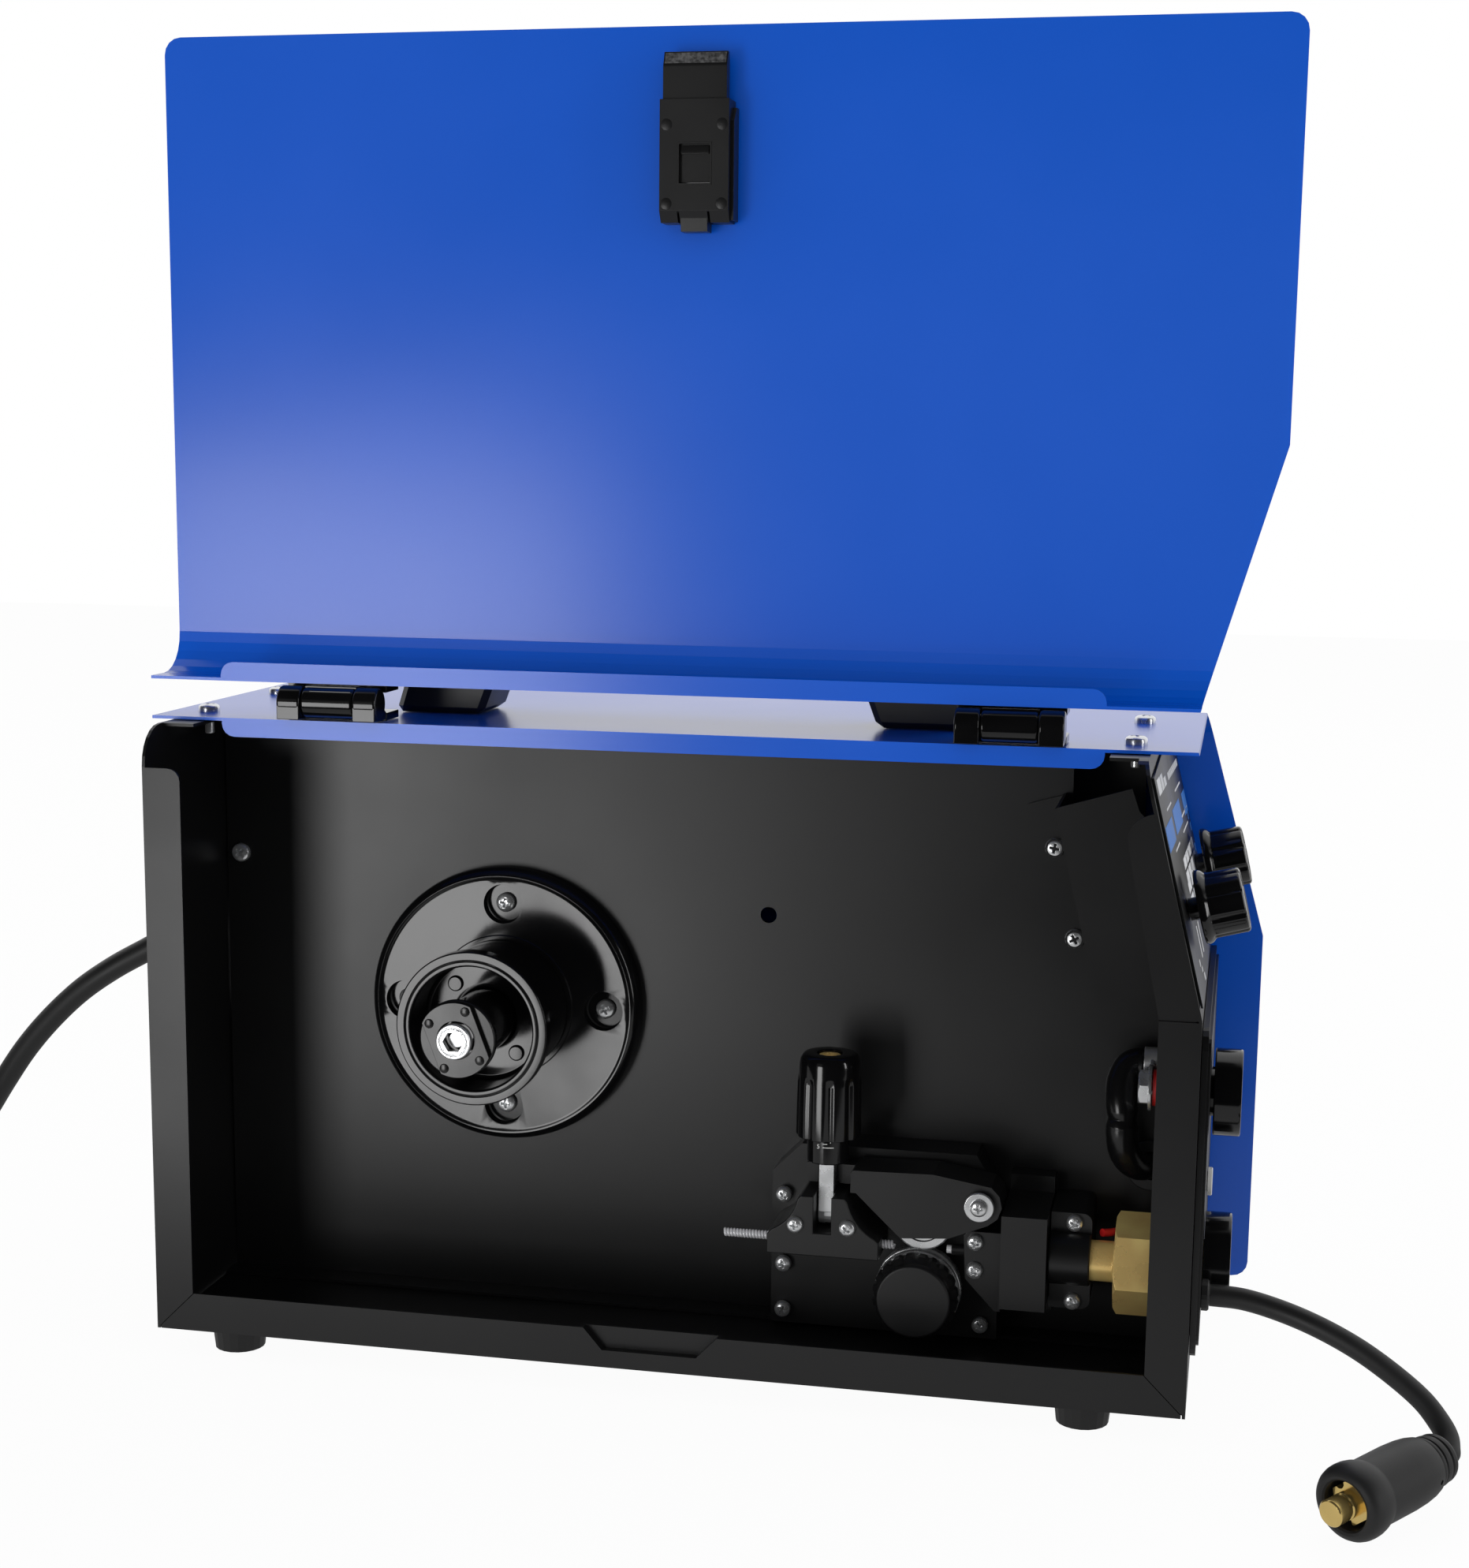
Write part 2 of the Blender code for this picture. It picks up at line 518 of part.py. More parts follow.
def roller_cap():
    """Knurled retaining cap in front of the drive roller."""
    teeth = 18
    rim = []
    for k in range(2 * teeth):
        radius = 15.3 if k % 2 else 14.5
        angle = math.tau * k / (2 * teeth)
        rim.append((ROLLER_X + radius * math.cos(angle), DRIVE_Z + radius * math.sin(angle)))
    skirt = prism(rim, "y", 30.5, WIRE_Y - 5.7)
    face = turned([(0, 31), (14.2, 31), (14.2, 27.2), (13.6, 26.2), (0, 26.2)], "y", ROLLER_X, DRIVE_Z)
    return finish(join(skirt, face), "roller_cap", MATT, (ROLLER_X, WIRE_Y, DRIVE_Z))


ARM_FACE, ARM_BACK = 33.0, 52.0


def pressure_arm():
    """Moulded arm that turns on the pivot post and carries the pressure roller on a fixed axle."""
    nose = [(ARM_X + 8.4 * math.cos(a), ARM_Z + 8.4 * math.sin(a))
            for a in (math.radians(60 - 32 * k) for k in range(5))]
    outline = [(251.7, 65.6), (251.7, 73.2), (270.4, 73.2), (271.4, 74.4), (302, 75.0), *nose,
               (308.4, 50.3), (290, 49.0), (272.6, 65.6)]
    arm = prism(outline, "y", ARM_FACE, ARM_BACK)
    recess = box((250, 270.5), (ARM_FACE - 1, 44.3), (60, 80))
    slot = box((LEVER_X - 4.2, LEVER_X + 4.2), (40, 47), (60, 80))
    pocket = rod(12.5, "y", IDLER_X, IDLER_Z, WIRE_Y - 5.6, WIRE_Y + 5.6, 24)
    arm = cut(arm, recess, slot, pocket, rod(5.0, "y", ARM_X, ARM_Z, 20, 60))
    axle = rod(2.6, "y", IDLER_X, IDLER_Z, ARM_FACE + 1, ARM_BACK - 1, 12)
    return finish(join(arm, axle), "pressure_arm", MATT, (ARM_X, WIRE_Y, ARM_Z))


def pressure_roller():
    """Ball-bearing roller that presses the wire down."""
    mid = WIRE_Y
    profile = [(3.0, mid - 5), (IDLER_R, mid - 5), (IDLER_R, mid + 5), (3.0, mid + 5)]
    return finish(turned(profile, "y", IDLER_X, IDLER_Z, 28), "pressure_roller", ZINC,
                  (IDLER_X, mid, IDLER_Z))


def clamp_bracket():
    """Front bracket with the liner bore, the slot for the tension rod and its cross pin."""
    outline = [(238.7, 40.2), (238.7, 49.5), (243, 51), (248.2, 55.5), (251.5, 63.9), (268.9, 63.9),
               (273.2, 53), (282.2, 47.4), (282.2, 40.2)]
    bracket = prism(outline, "y", 30, FEED_FACE - GAP)
    slot = box((LEVER_X - 3.4, LEVER_X + 3.4), (29, 47), (49.4, 65))
    liner_way = rod(2.2, "x", WIRE_Y, WIRE_Z, 230, 290, 12)
    pin = rod(1.8, "x", WIRE_Y, LEVER_Z, LEVER_X - 5, LEVER_X + 5, 12)
    heads = [rod(3.0, "y", x, 52.4, 28.0, 31, 8) for x in (249.8, 270.0)]
    return finish(join(cut(bracket, slot, liner_way), pin, *heads), "clamp_bracket", MATT)


def inlet_liner():
    """Wound guide for the wire, through the clamp bracket."""
    return finish(rod(1.8, "x", WIRE_Y, WIRE_Z, 219, 286.2, 12), "inlet_liner", ZINC)


LEVER_PIVOT = (LEVER_X, WIRE_Y, LEVER_Z)


def tension_rod():
    """Flat link on the bracket's cross pin that runs up into a threaded rod."""
    eye = rod(3.8, "x", WIRE_Y, LEVER_Z, LEVER_X - 2.8, LEVER_X + 2.8)
    link = box((LEVER_X - 2.8, LEVER_X + 2.8), (WIRE_Y - 3.4, WIRE_Y + 3.4), (LEVER_Z, 76.5))
    thread = rod(2.8, "z", LEVER_X, WIRE_Y, 76, 112, 12)
    lever = cut(join(eye, link, thread), rod(2.2, "x", WIRE_Y, LEVER_Z, 250, 270, 12))
    return finish(lever, "tension_rod", ZINC, LEVER_PIVOT)


def tension_sleeve():
    """Spring sleeve that bears on the arm and carries the pressure scale."""
    profile = [(4.1, 75.4), (8.2, 75.4), (8.2, 95.0), (4.1, 95.0)]
    return finish(cut(turned(profile, "z", LEVER_X, WIRE_Y),
                      box((LEVER_X - 3.1, LEVER_X + 3.1), (WIRE_Y - 3.7, WIRE_Y + 3.7), (70, 76.8))),
                  "tension_sleeve", GLOSS, LEVER_PIVOT)


def fluted(radius, depth, ridges):
    """Round outline about the origin with shallow flutes, two ridge points and one groove point each."""
    outline = []
    for k in range(3 * ridges):
        r = radius - (depth if k % 3 == 0 else 0.0)
        outline.append((r * math.cos(math.tau * k / (3 * ridges)), r * math.sin(math.tau * k / (3 * ridges))))
    return outline


def tension_knob():
    """Fluted knob screwed on the rod, with a shallow recess in its crown."""
    grip = prism([(LEVER_X + u, WIRE_Y + v) for u, v in fluted(12.5, 0.8, 8)], "z", 85.6, 107)
    crown = turned([(0, 106), (11.7, 106), (11.4, 115.5), (10.4, 117.8), (4.6, 117.8), (4.6, 116.4),
                    (0, 116.4)], "z", LEVER_X, WIRE_Y)
    inner = turned([(0, 84), (8.7, 84), (8.7, 95.6), (3.3, 95.6), (3.3, 113), (0, 113)], "z", LEVER_X,
                   WIRE_Y, 16)
    return finish(cut(join(grip, crown), inner), "tension_knob", GLOSS, (LEVER_X, WIRE_Y, 100))


def outlet_block():
    """Insulating block between the rollers and the torch connector, with the short wire guide."""
    block = box((328.6, 345.8), (30, WALL_Y - 7), (25.2, 61.6))
    foot_plate = box((328.6, 345.8), (WALL_Y - 9, WALL_Y - GAP), (14, 68))
    guide = rod(2.2, "x", WIRE_Y, WIRE_Z, 309, 330, 12)
    return finish(join(block, foot_plate, guide), "outlet_block", MATT)


def outlet_saddle():
    """Saddle that clamps the connector's tube, with two screwed ears."""
    plate = box((346.3, 361.8), (44, WALL_Y - GAP), (22.8, 60.6))
    heads = [rod(3.1, "y", 355.2, z, 41.8, 45, 8) for z in (25.9, 56.9)]
    bulge = rod(9.9, "x", WIRE_Y, WIRE_Z, 346.3, 361.8, 32)
    bore = rod(8.2, "x", WIRE_Y, WIRE_Z, 340, 370, 20)
    return finish(cut(join(plate, bulge, *heads), bore), "outlet_saddle", MATT)


def torch_connector():
    """Brass connector: tube in the saddle, hexagon nut and threaded body through the front panel."""
    profile = [(2.0, 346.6), (7.7, 346.6), (7.7, 371), (11.4, 371), (11.4, 413), (2.0, 413)]
    body = turned(profile, "x", WIRE_Y, WIRE_Z, 20)
    nut = cut(rod(19.4, "x", WIRE_Y, WIRE_Z, 371, 390, 6, math.radians(13.2)),
              rod(10.5, "x", WIRE_Y, WIRE_Z, 370, 391, 20))
    return finish(join(body, nut), "torch_connector", BRASS)


# ------------------------------------------------------------------------------------ front fittings

FASCIA_X = CASE_L + GAP
FASCIA_OUT = FASCIA_X + 3.2


def front_fascia():
    """Moulded plate on the upright part of the front, with a raised panel behind the sockets."""
    plate = prism(rounded(rectangle((5, 171), (20.5, 143), 7.0)), "x", FASCIA_X, FASCIA_OUT - 1.0)
    raised = prism(rounded(rectangle((8, 168), (24, 139.5), 5.0)), "x", FASCIA_X + 1, FASCIA_OUT)
    holes = [rod(11.8, "x", WIRE_Y, WIRE_Z, 395, 410, 24), rod(9.6, "x", SOCKET_Y, SOCKET_Z, 395, 410, 20),
             rod(5.2, "x", LEAD_Y, LEAD_Z, 395, 410, 16), rod(4.3, "x", TRIGGER_Y, TRIGGER_Z, 395, 410, 16)]
    return finish(cut(join(plate, raised), *holes), "front_fascia", MATT)


def control_overlay():
    """Thin printed plate on the leaning part of the front."""
    low, high = on_slope(4, GAP), on_slope(88, GAP)
    low_out, high_out = on_slope(4, GAP + 0.7), on_slope(88, GAP + 0.7)
    plate = prism([low, high, high_out, low_out], "y", 5, 171)
    holes = [lean(rod(4.2, "z", 0, 0, -6, 6, 16), KNOB_UP, y) for y in KNOB_YS.values()]
    return finish(cut(plate, *holes), "control_overlay", MATT)


def control_knob(place, y):
    """Skirted and fluted knob on its shaft, square to the leaning face."""
    profile = [(0, -8), (3.0, -8), (3.0, 1.6), (4.2, 1.6), (4.2, 5.4), (13.8, 5.4), (13.8, 7.4), (12.4, 8.6),
               (0, 8.6)]
    grip = prism(fluted(12.0, 0.7, 8), "z", 8, 22)
    knob = lean(join(turned(profile, "z", 0, 0, 20), grip), KNOB_UP, y)
    x, z = on_slope(KNOB_UP, 10)
    return finish(knob, f"control_knob_{place}", GLOSS, (x, y, z))


def torch_collar():
    """Moulded collar around the torch connection."""
    ring = rod(17.6, "x", WIRE_Y, TORCH_Z, FASCIA_OUT + GAP, 413.6, 32)
    bore = rod(12.0, "x", WIRE_Y, WIRE_Z, FASCIA_OUT - 1, 415, 24)
    return finish(cut(ring, bore), "torch_collar", GLOSS)


def cable_socket():
    """Panel-mount power socket: collar outside, neck through the panel."""
    profile = [(5.0, 388), (9.2, 388), (9.2, FASCIA_OUT + 1.3), (16.4, FASCIA_OUT + 1.3), (16.4, 415),
               (8.6, 415), (8.6, 404), (5.0, 404)]
    return finish(turned(profile, "x", SOCKET_Y, SOCKET_Z, 28), "cable_socket", GLOSS)


def socket_stud():
    """Hexagon bolt that clamps the inner cable's lug to the socket."""
    head = rod(7.0, "x", SOCKET_Y, SOCKET_Z, 377.4, 381.6, 6)
    shank = rod(4.0, "x", SOCKET_Y, SOCKET_Z, 381, 400, 12)
    ring = rod(8.8, "x", SOCKET_Y, SOCKET_Z, 381.2, 383.2)
    barrel = rod(6.0, "x", LUG_Y, LUG_Z, 378.2, 383.2)
    aside = Vector((LUG_Z - SOCKET_Z, SOCKET_Y - LUG_Y)).normalized() * 5.0
    arm = prism([(SOCKET_Y - aside.x, SOCKET_Z - aside.y), (SOCKET_Y + aside.x, SOCKET_Z + aside.y),
                 (LUG_Y + aside.x, LUG_Z + aside.y), (LUG_Y - aside.x, LUG_Z - aside.y)], "x", 381.4, 383.0)
    return finish(join(head, shank, ring, arm, barrel), "socket_stud", ZINC)


def stud_washers():
    """Stack of red insulating washers between the cable lug and the panel."""
    profile = [(4.4, 383.6), (6.4, 383.6), (6.4, 387.6), (4.4, 387.6)]
    return finish(turned(profile, "x", SOCKET_Y, SOCKET_Z, 20), "stud_washers", RED)


def smooth_route(points, spacing):
    """Even points about spacing apart along a smooth curve through the hand-chosen ones."""
    route = [Vector(p) for p in points]
    padded = [2 * route[0] - route[1], *route, 2 * route[-1] - route[-2]]
    dense = [route[0]]
    for a, b, c, d in zip(padded, padded[1:], padded[2:], padded[3:]):
        for k in range(1, 21):
            t = k / 20
            dense.append(0.5 * ((2 * b) + (c - a) * t + (2 * a - 5 * b + 4 * c - d) * t * t
                                + (3 * b - a - 3 * c + d) * t ** 3))
    total = sum((q - p).length for p, q in zip(dense, dense[1:]))
    step = total / max(2, round(total / spacing))
    even, walked, target = [dense[0]], 0.0, step
    for p, q in zip(dense, dense[1:]):
        span = (q - p).length
        while walked + span >= target - 1e-9 and len(even) * step < total - step / 2:
            even.append(p.lerp(q, (target - walked) / span))
            target += step
        walked += span
    return [*even, dense[-1]]


def cord(name, points, radius, look, spacing, head=None, tail=None, sides=2):
    """Round tube with closed ends along a smooth route, as a curve, with straight first and last steps."""
    route = smooth_route(points, spacing)
    if head:
        route.insert(0, Vector(head))
    if tail:
        route.append(Vector(tail))
    curve = bpy.data.curves.new(name, "CURVE")
    curve.dimensions = "3D"
    curve.bevel_depth = radius * MM
    curve.bevel_resolution = sides
    curve.use_fill_caps = True
    spline = curve.splines.new("POLY")
    spline.points.add(len(route) - 1)
    for knot, place in zip(spline.points, route):
        knot.co = (*((place - ORIGIN) * MM), 1.0)
    curve.materials.append(look)
    made = bpy.data.objects.new(name, curve)
    bpy.context.collection.objects.link(made)
    return made


def inner_cable():
    """Thick cable from the socket's lug round and down to the hole in the partition wall."""
    route = [(375.2, LUG_Y, LUG_Z), (372.0, 61.8, 114.2), (370.2, 59.6, 109.0), (370.2, 56.4, 102.6),
             (371.0, 54.8, 96.4), (371.0, 54.8, 89.6), (372.0, 56.6, 83.0), (374.6, 60.4, 77.6),
             (378.2, 65.8, 74.2), (381.0, 72.2, 73.2), (382.0, 80, 72.8), (382.0, 88, 72.8)]
    cord("inner_cable", route, INNER_R, RUBBER, 2 * INNER_R, head=(377.9, LUG_Y, LUG_Z))


def trigger_socket():
    """Small white signal socket on the fascia."""
    profile = [(0, 392), (3.9, 392), (3.9, FASCIA_OUT + 0.4), (5.4, FASCIA_OUT + 0.4), (5.4, 405.6), (0, 405.6)]
    return finish(turned(profile, "x", TRIGGER_Y, TRIGGER_Z, 14), "trigger_socket", WHITE)


def control_shield():
    """Folded shield behind the leaning controls, screwed to the partition wall."""
    def sloped(up, back):
        return on_slope(up, -back)
    web = prism([sloped(7, 38), sloped(81, 38), sloped(81, 36.8), sloped(7, 36.8)], "y", 30, WALL_Y - GAP)
    face = prism([sloped(6.6, 37.5), sloped(81.4, 37.5), sloped(82.8, 9), sloped(74, 8.2), sloped(66, 3.4),
                  sloped(6.6, 3.4)], "y", 29.8, 29.8 + SHEET)
    ear = prism([sloped(8.5, 50), sloped(80, 52), sloped(80.6, 37.4), sloped(7.6, 37.4)], "y",
                WALL_Y - GAP - SHEET, WALL_Y - GAP)
    heads = [rod(3.6, "y", *sloped(up, 45.6), WALL_Y - 3.8, WALL_Y - 1, 10) for up in (25.3, 61.4)]
    return finish(join(web, face, ear, *heads), "control_shield", BLACK_STEEL)


# ------------------------------------------------------------------------------------- rear fittings

def fan_frame():
    """Square fan frame with four spokes and the motor boss."""
    half = 40.0
    frame = box((1.6, 26.6), (FAN_Y - half, FAN_Y + half), (FAN_Z - half, FAN_Z + half))
    frame = cut(frame, rod(37.5, "x", FAN_Y, FAN_Z, 0, 30, 28))
    spokes = [box((22.6, 25.6), (FAN_Y - 39, FAN_Y + 39), (FAN_Z - 2, FAN_Z + 2)),
              box((22.6, 25.6), (FAN_Y - 2, FAN_Y + 2), (FAN_Z - 39, FAN_Z + 39)),
              rod(14.0, "x", FAN_Y, FAN_Z, 22.6, 26.4)]
    return finish(join(frame, *spokes), "fan_frame", MATT)


def fan_rotor():
    """Hub with seven pitched blades."""
    rotor = rod(13.5, "x", FAN_Y, FAN_Z, 5.0, 21.6)
    blades = []
    for k in range(7):
        bm = bmesh.new()
        corners = []
        for radius in (12.5, 36.2):
            for x, spread in ((7.0, -0.22), (20.0, 0.22)):
                for side in (-0.8, 0.8):
                    angle = math.tau * k / 7 + spread * 20 / (radius * 0.5 + 10)
                    normal = angle + math.pi / 2
                    corners.append(bm.verts.new((
                        x, FAN_Y + radius * math.cos(angle) + side * math.cos(normal),
                        FAN_Z + radius * math.sin(angle) + side * math.sin(normal))))
        for quad in ((0, 1, 3, 2), (4, 6, 7, 5), (0, 4, 5, 1), (2, 3, 7, 6), (0, 2, 6, 4), (1, 5, 7, 3)):
            bm.faces.new([corners[n] for n in quad])
        blades.append(add_object("blade", bm))
    return finish(join(rotor, *blades), "fan_rotor", MATT, (12, FAN_Y, FAN_Z))


def fan_guard():
    """Ring guard over the fan opening outside the rear panel."""
    guard = box((-2.0, -GAP), (FAN_Y - 40, FAN_Y + 40), (FAN_Z - 40, FAN_Z + 40))
    guard = cut(guard, rod(36.5, "x", FAN_Y, FAN_Z, -5, 3, 28))
    rings = [turned([(r, -4.2), (r + 1.8, -4.2), (r + 1.8, -1.8), (r, -1.8)], "x", FAN_Y, FAN_Z, 20)
             for r in (12, 24)]
    spokes = [box((-3.0, -1.0), (FAN_Y - 38, FAN_Y + 38), (FAN_Z - 1.2, FAN_Z + 1.2)),
              box((-3.0, -1.0), (FAN_Y - 1.2, FAN_Y + 1.2), (FAN_Z - 38, FAN_Z + 38))]
    return finish(join(guard, *spokes, *rings), "fan_guard", MATT)


def switch_frame():
    """Bezel and body of the mains rocker switch."""
    bezel = box((-2.4, -GAP), (SWITCH_Y - 13, SWITCH_Y + 13), (SWITCH_Z - 16.5, SWITCH_Z + 16.5))
    body = box((-1.0, 20), (SWITCH_Y - 10.4, SWITCH_Y + 10.4), (SWITCH_Z - 13.6, SWITCH_Z + 13.6))
    well = box((-5, 8), (SWITCH_Y - 8.6, SWITCH_Y + 8.6), (SWITCH_Z - 12.4, SWITCH_Z + 12.4))
    return finish(cut(join(bezel, body), well), "switch_frame", MATT)


def switch_rocker():
    """Two-position rocker with its lower half pressed in."""
    tilt = math.radians(10)
    side = [(2.0, -4.6), (-2.5, -10.8), (-5.7, -10.8), (-3.9, 0), (-5.7, 10.8), (-2.5, 10.8), (2.0, 4.6)]
    turned_side = [(ROCKER_X + x * math.cos(tilt) - z * math.sin(tilt),
                    SWITCH_Z + x * math.sin(tilt) + z * math.cos(tilt)) for x, z in side]
    rocker = prism(turned_side, "y", SWITCH_Y - 8.2, SWITCH_Y + 8.2)
    return finish(rocker, "switch_rocker", GLOSS, (ROCKER_X, SWITCH_Y, SWITCH_Z))


def gas_inlet():
    """Barbed gas nipple with its nut."""
    profile = [(2.0, 12), (5.0, 12), (5.0, -6), (3.2, -6), (4.3, -12), (3.2, -12.4), (4.0, -19), (2.0, GAS_TIP)]
    nipple = turned(profile, "x", GAS_Y, GAS_Z, 16)
    nut = cut(rod(8.6, "x", GAS_Y, GAS_Z, -5.2, -GAP, 6), rod(4.4, "x", GAS_Y, GAS_Z, -6, 1))
    return finish(join(nipple, nut), "gas_inlet", BRASS)


def mains_gland():
    """Cable gland: nut inside, hexagon outside and a long tapered strain relief."""
    hole = MAINS_R + GAP
    profile = [(hole, 9), (7.9, 9), (7.9, -GAP), (11.5, -GAP), (11.5, -4), (9.4, -8), (6.6, GLAND_END),
               (hole, GLAND_END)]
    gland = turned(profile, "x", MAINS_Y, MAINS_Z, 20)
    nut = cut(rod(11.8, "x", MAINS_Y, MAINS_Z, 1.6, 6, 6), rod(7.0, "x", MAINS_Y, MAINS_Z, 0, 8, 20))
    return finish(join(gland, nut), "mains_gland", MATT)


def power_module():
    """Heat sink block with fins on the power side."""
    base = box((70, 250), (84, 92), (12, 130))
    fins = [box((70, 250), (91, 128), (z, z + 3)) for z in range(12, 130, 24)]
    return finish(join(base, *fins), "power_module", ALLOY)


# -------------------------------------------------------------------------------------------- cords

GROUND = -FOOT_H
LEAD_EXIT = (FASCIA_OUT + 3.0 + GAP, LEAD_Y, LEAD_Z)
PLUG_TAIL = Vector((487.0, -28.2, 6.4))
PLUG_NOSE = Vector((455.6, -66.4, 2.6))

LEAD_ROUTE = [LEAD_EXIT, (419, 17.6, 41.0), (432.5, 15.6, 38.4), (446, 11.6, 34.8), (459.5, 5.8, 30.0),
              (471.6, -1.6, 24.4), (481.4, -9.2, 18.8), (487.2, -15.0, 13.4), (489.8, -19.6, 9.8),
              tuple(PLUG_TAIL - 5 * (PLUG_NOSE - PLUG_TAIL).normalized())]


def lead_gland():
    """Grommet that the polarity lead comes out of."""
    hole = LEAD_R + GAP
    profile = [(hole, 394), (4.9, 394), (4.9, FASCIA_OUT + GAP), (5.8, FASCIA_OUT + GAP),
               (5.8, FASCIA_OUT + 2.4), (5.2, FASCIA_OUT + 3.0), (hole, FASCIA_OUT + 3.0)]
    return finish(turned(profile, "x", LEAD_Y, LEAD_Z, 20), "lead_gland", RUBBER)


def along_axis(piece, start, end):
    """Carry a piece built up the Z axis so that it starts at one point and aims at another."""
    turn = (end - start).to_track_quat("Z", "Y")
    for vert in piece.data.vertices:
        vert.co = turn @ vert.co + start
    return piece


def lead_plug():
    """Rubber-sleeved cable plug lying on the ground: ribbed tail, grip and open nose."""
    length = (PLUG_NOSE - PLUG_TAIL).length
    profile = [(0, GAP), (6.4, GAP), (8.6, 2.0), (8.8, 4.4), (8.0, 5.0), (9.4, 6.2), (9.6, 8.6), (9.0, 9.2),
               (10.6, 10.4), (11.6, 18), (11.8, length - 12.5), (12.6, length - 11), (13.4, length - 8),
               (13.4, length - 3.6), (12.4, length - 1), (10.8, length), (8.4, length), (8.4, length - 7),
               (0, length - 7)]
    plug = along_axis(turned(profile, "z", 0, 0, 20), PLUG_TAIL, PLUG_NOSE)
    return finish(plug, "lead_plug", RUBBER)


def lead_plug_contact():
    """Brass contact in the plug's nose: collar, pin and locking key."""
    length = (PLUG_NOSE - PLUG_TAIL).length
    collar = turned([(0, length - 6.7), (7.9, length - 6.7), (7.9, length + 0.6), (0, length + 0.6)],
                    "z", 0, 0, 6)
    pin = rod(4.7, "z", 0, 0, length - 1, length + 10.5)
    contact = along_axis(join(collar, pin, box((4, 6.2), (-1.2, 1.2), (length + 3, length + 7))),
                         PLUG_TAIL, PLUG_NOSE)
    return finish(contact, "lead_plug_contact", BRASS)


# The rest of the mains lead, put away: two turns side by side in each layer
COIL_X, COIL_Y = -205.0, 51.0
COIL_MID = 61.0       # radius at the middle of the turns
COIL_IN, COIL_OUT = COIL_MID - 2 * MAINS_R, COIL_MID + 2 * MAINS_R
COIL_TOP = GROUND + 6 * MAINS_R
LIE = GROUND + MAINS_R + 0.1

MAINS_ROUTE = [(GLAND_END - GAP, MAINS_Y, MAINS_Z), (-34, 120, 136.4), (-45, 120, 132.0), (-57, 120, 125.4),
               (-73, 120, 116.4), (-89, 120, 105.3), (-104, 120.2, 91.6), (-117, 120.6, 77.0),
               (-128.4, 121.2, 61.2), (-139, 122.0, 45.4), (-150.4, 123.2, 30.0), (-163.6, 125.0, 15.8),
               (-179, 126.8, 4.0), (-194.6, 128.2, -3.6), (-207.4, 128.4, LIE), (-219.6, 127.0, LIE),
               (-231.2, 123.8, LIE), (-242.0, 119.0, LIE)]


def mains_coil():
    """Outer shape of the coil that most of the mains lead lies in."""
    profile = [(COIL_IN, GROUND), (COIL_OUT, GROUND), (COIL_OUT, COIL_TOP), (COIL_IN, COIL_TOP)]
    return finish(turned(profile, "z", COIL_X, COIL_Y, 32), "mains_coil", RUBBER)


def mains_plug():
    """Moulded two-pin plug that lies on the coil, in line with its last turn."""
    tail = Vector((COIL_X, COIL_Y - COIL_MID, COIL_TOP + GAP + 13.0))
    shell = turned([(0, 0), (7.0, 0), (8.5, 14), (12.8, 20), (12.8, 40), (0, 40)], "z", 0, 0, 16)
    pins = [rod(2.2, "z", 0, side * 9.5, 39, 58, 8) for side in (-1, 1)]
    return finish(along_axis(join(shell, *pins), tail, tail + Vector((1, 0, 0))), "mains_plug", RUBBER)


# ------------------------------------------------------------------------------------------- assembly

base_tray()
rear_panel()
front_panel()
partition_wall()
top_side_cover()
carry_handle()
for foot_name, foot_x, foot_y in (("foot_rear_near", 27, 18), ("foot_rear_far", 27, 158),
                                  ("foot_front_near", 362, 18), ("foot_front_far", 362, 158)):
    foot(foot_name, foot_x, foot_y)
cover_door()
latch_housing()
latch_bolt()
for hinge_place, hinge_x in HINGE_XS.items():
    hinge_leaves(hinge_place, hinge_x)
spool_base()
spool_sleeve()
lock_plate()
feeder_plate()
gear_motor()
drive_roller()
roller_cap()
pressure_arm()
pressure_roller()
clamp_bracket()
inlet_liner()
tension_rod()
tension_sleeve()
tension_knob()
outlet_block()
outlet_saddle()
torch_connector()
front_fascia()
control_overlay()
torch_collar()
for knob_place, knob_y in KNOB_YS.items():
    control_knob(knob_place, knob_y)
cable_socket()
socket_stud()
stud_washers()
inner_cable()
trigger_socket()
control_shield()
fan_frame()
fan_rotor()
fan_guard()
switch_frame()
switch_rocker()
gas_inlet()
mains_gland()
power_module()
lead_gland()
cord("polarity_cable", LEAD_ROUTE, LEAD_R, RUBBER, 2 * LEAD_R, tail=PLUG_TAIL)
lead_plug()
lead_plug_contact()
cord("mains_cable", MAINS_ROUTE, MAINS_R, RUBBER, 4 * MAINS_R)
mains_coil()
mains_plug()
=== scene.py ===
# %% [markdown]
# # A MIG welder with its side door swung up
#
# The machine is a folded steel case with a bay for wire in its near side. The solids, the joints and the
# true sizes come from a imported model, which is loaded first and is never moved. This script dresses it:
# finer shapes over the plain solids, and a finish on every surface.
#
# Lengths below are millimetres measured from one corner of the case: the lower rear corner on the open
# side. X runs to the front panel, Y into the machine and Z up.

from math import asin, atan2, cos, degrees, dist, pi, radians, sin, tan, tau

import bmesh
import bpy
from mathutils import Matrix, Vector


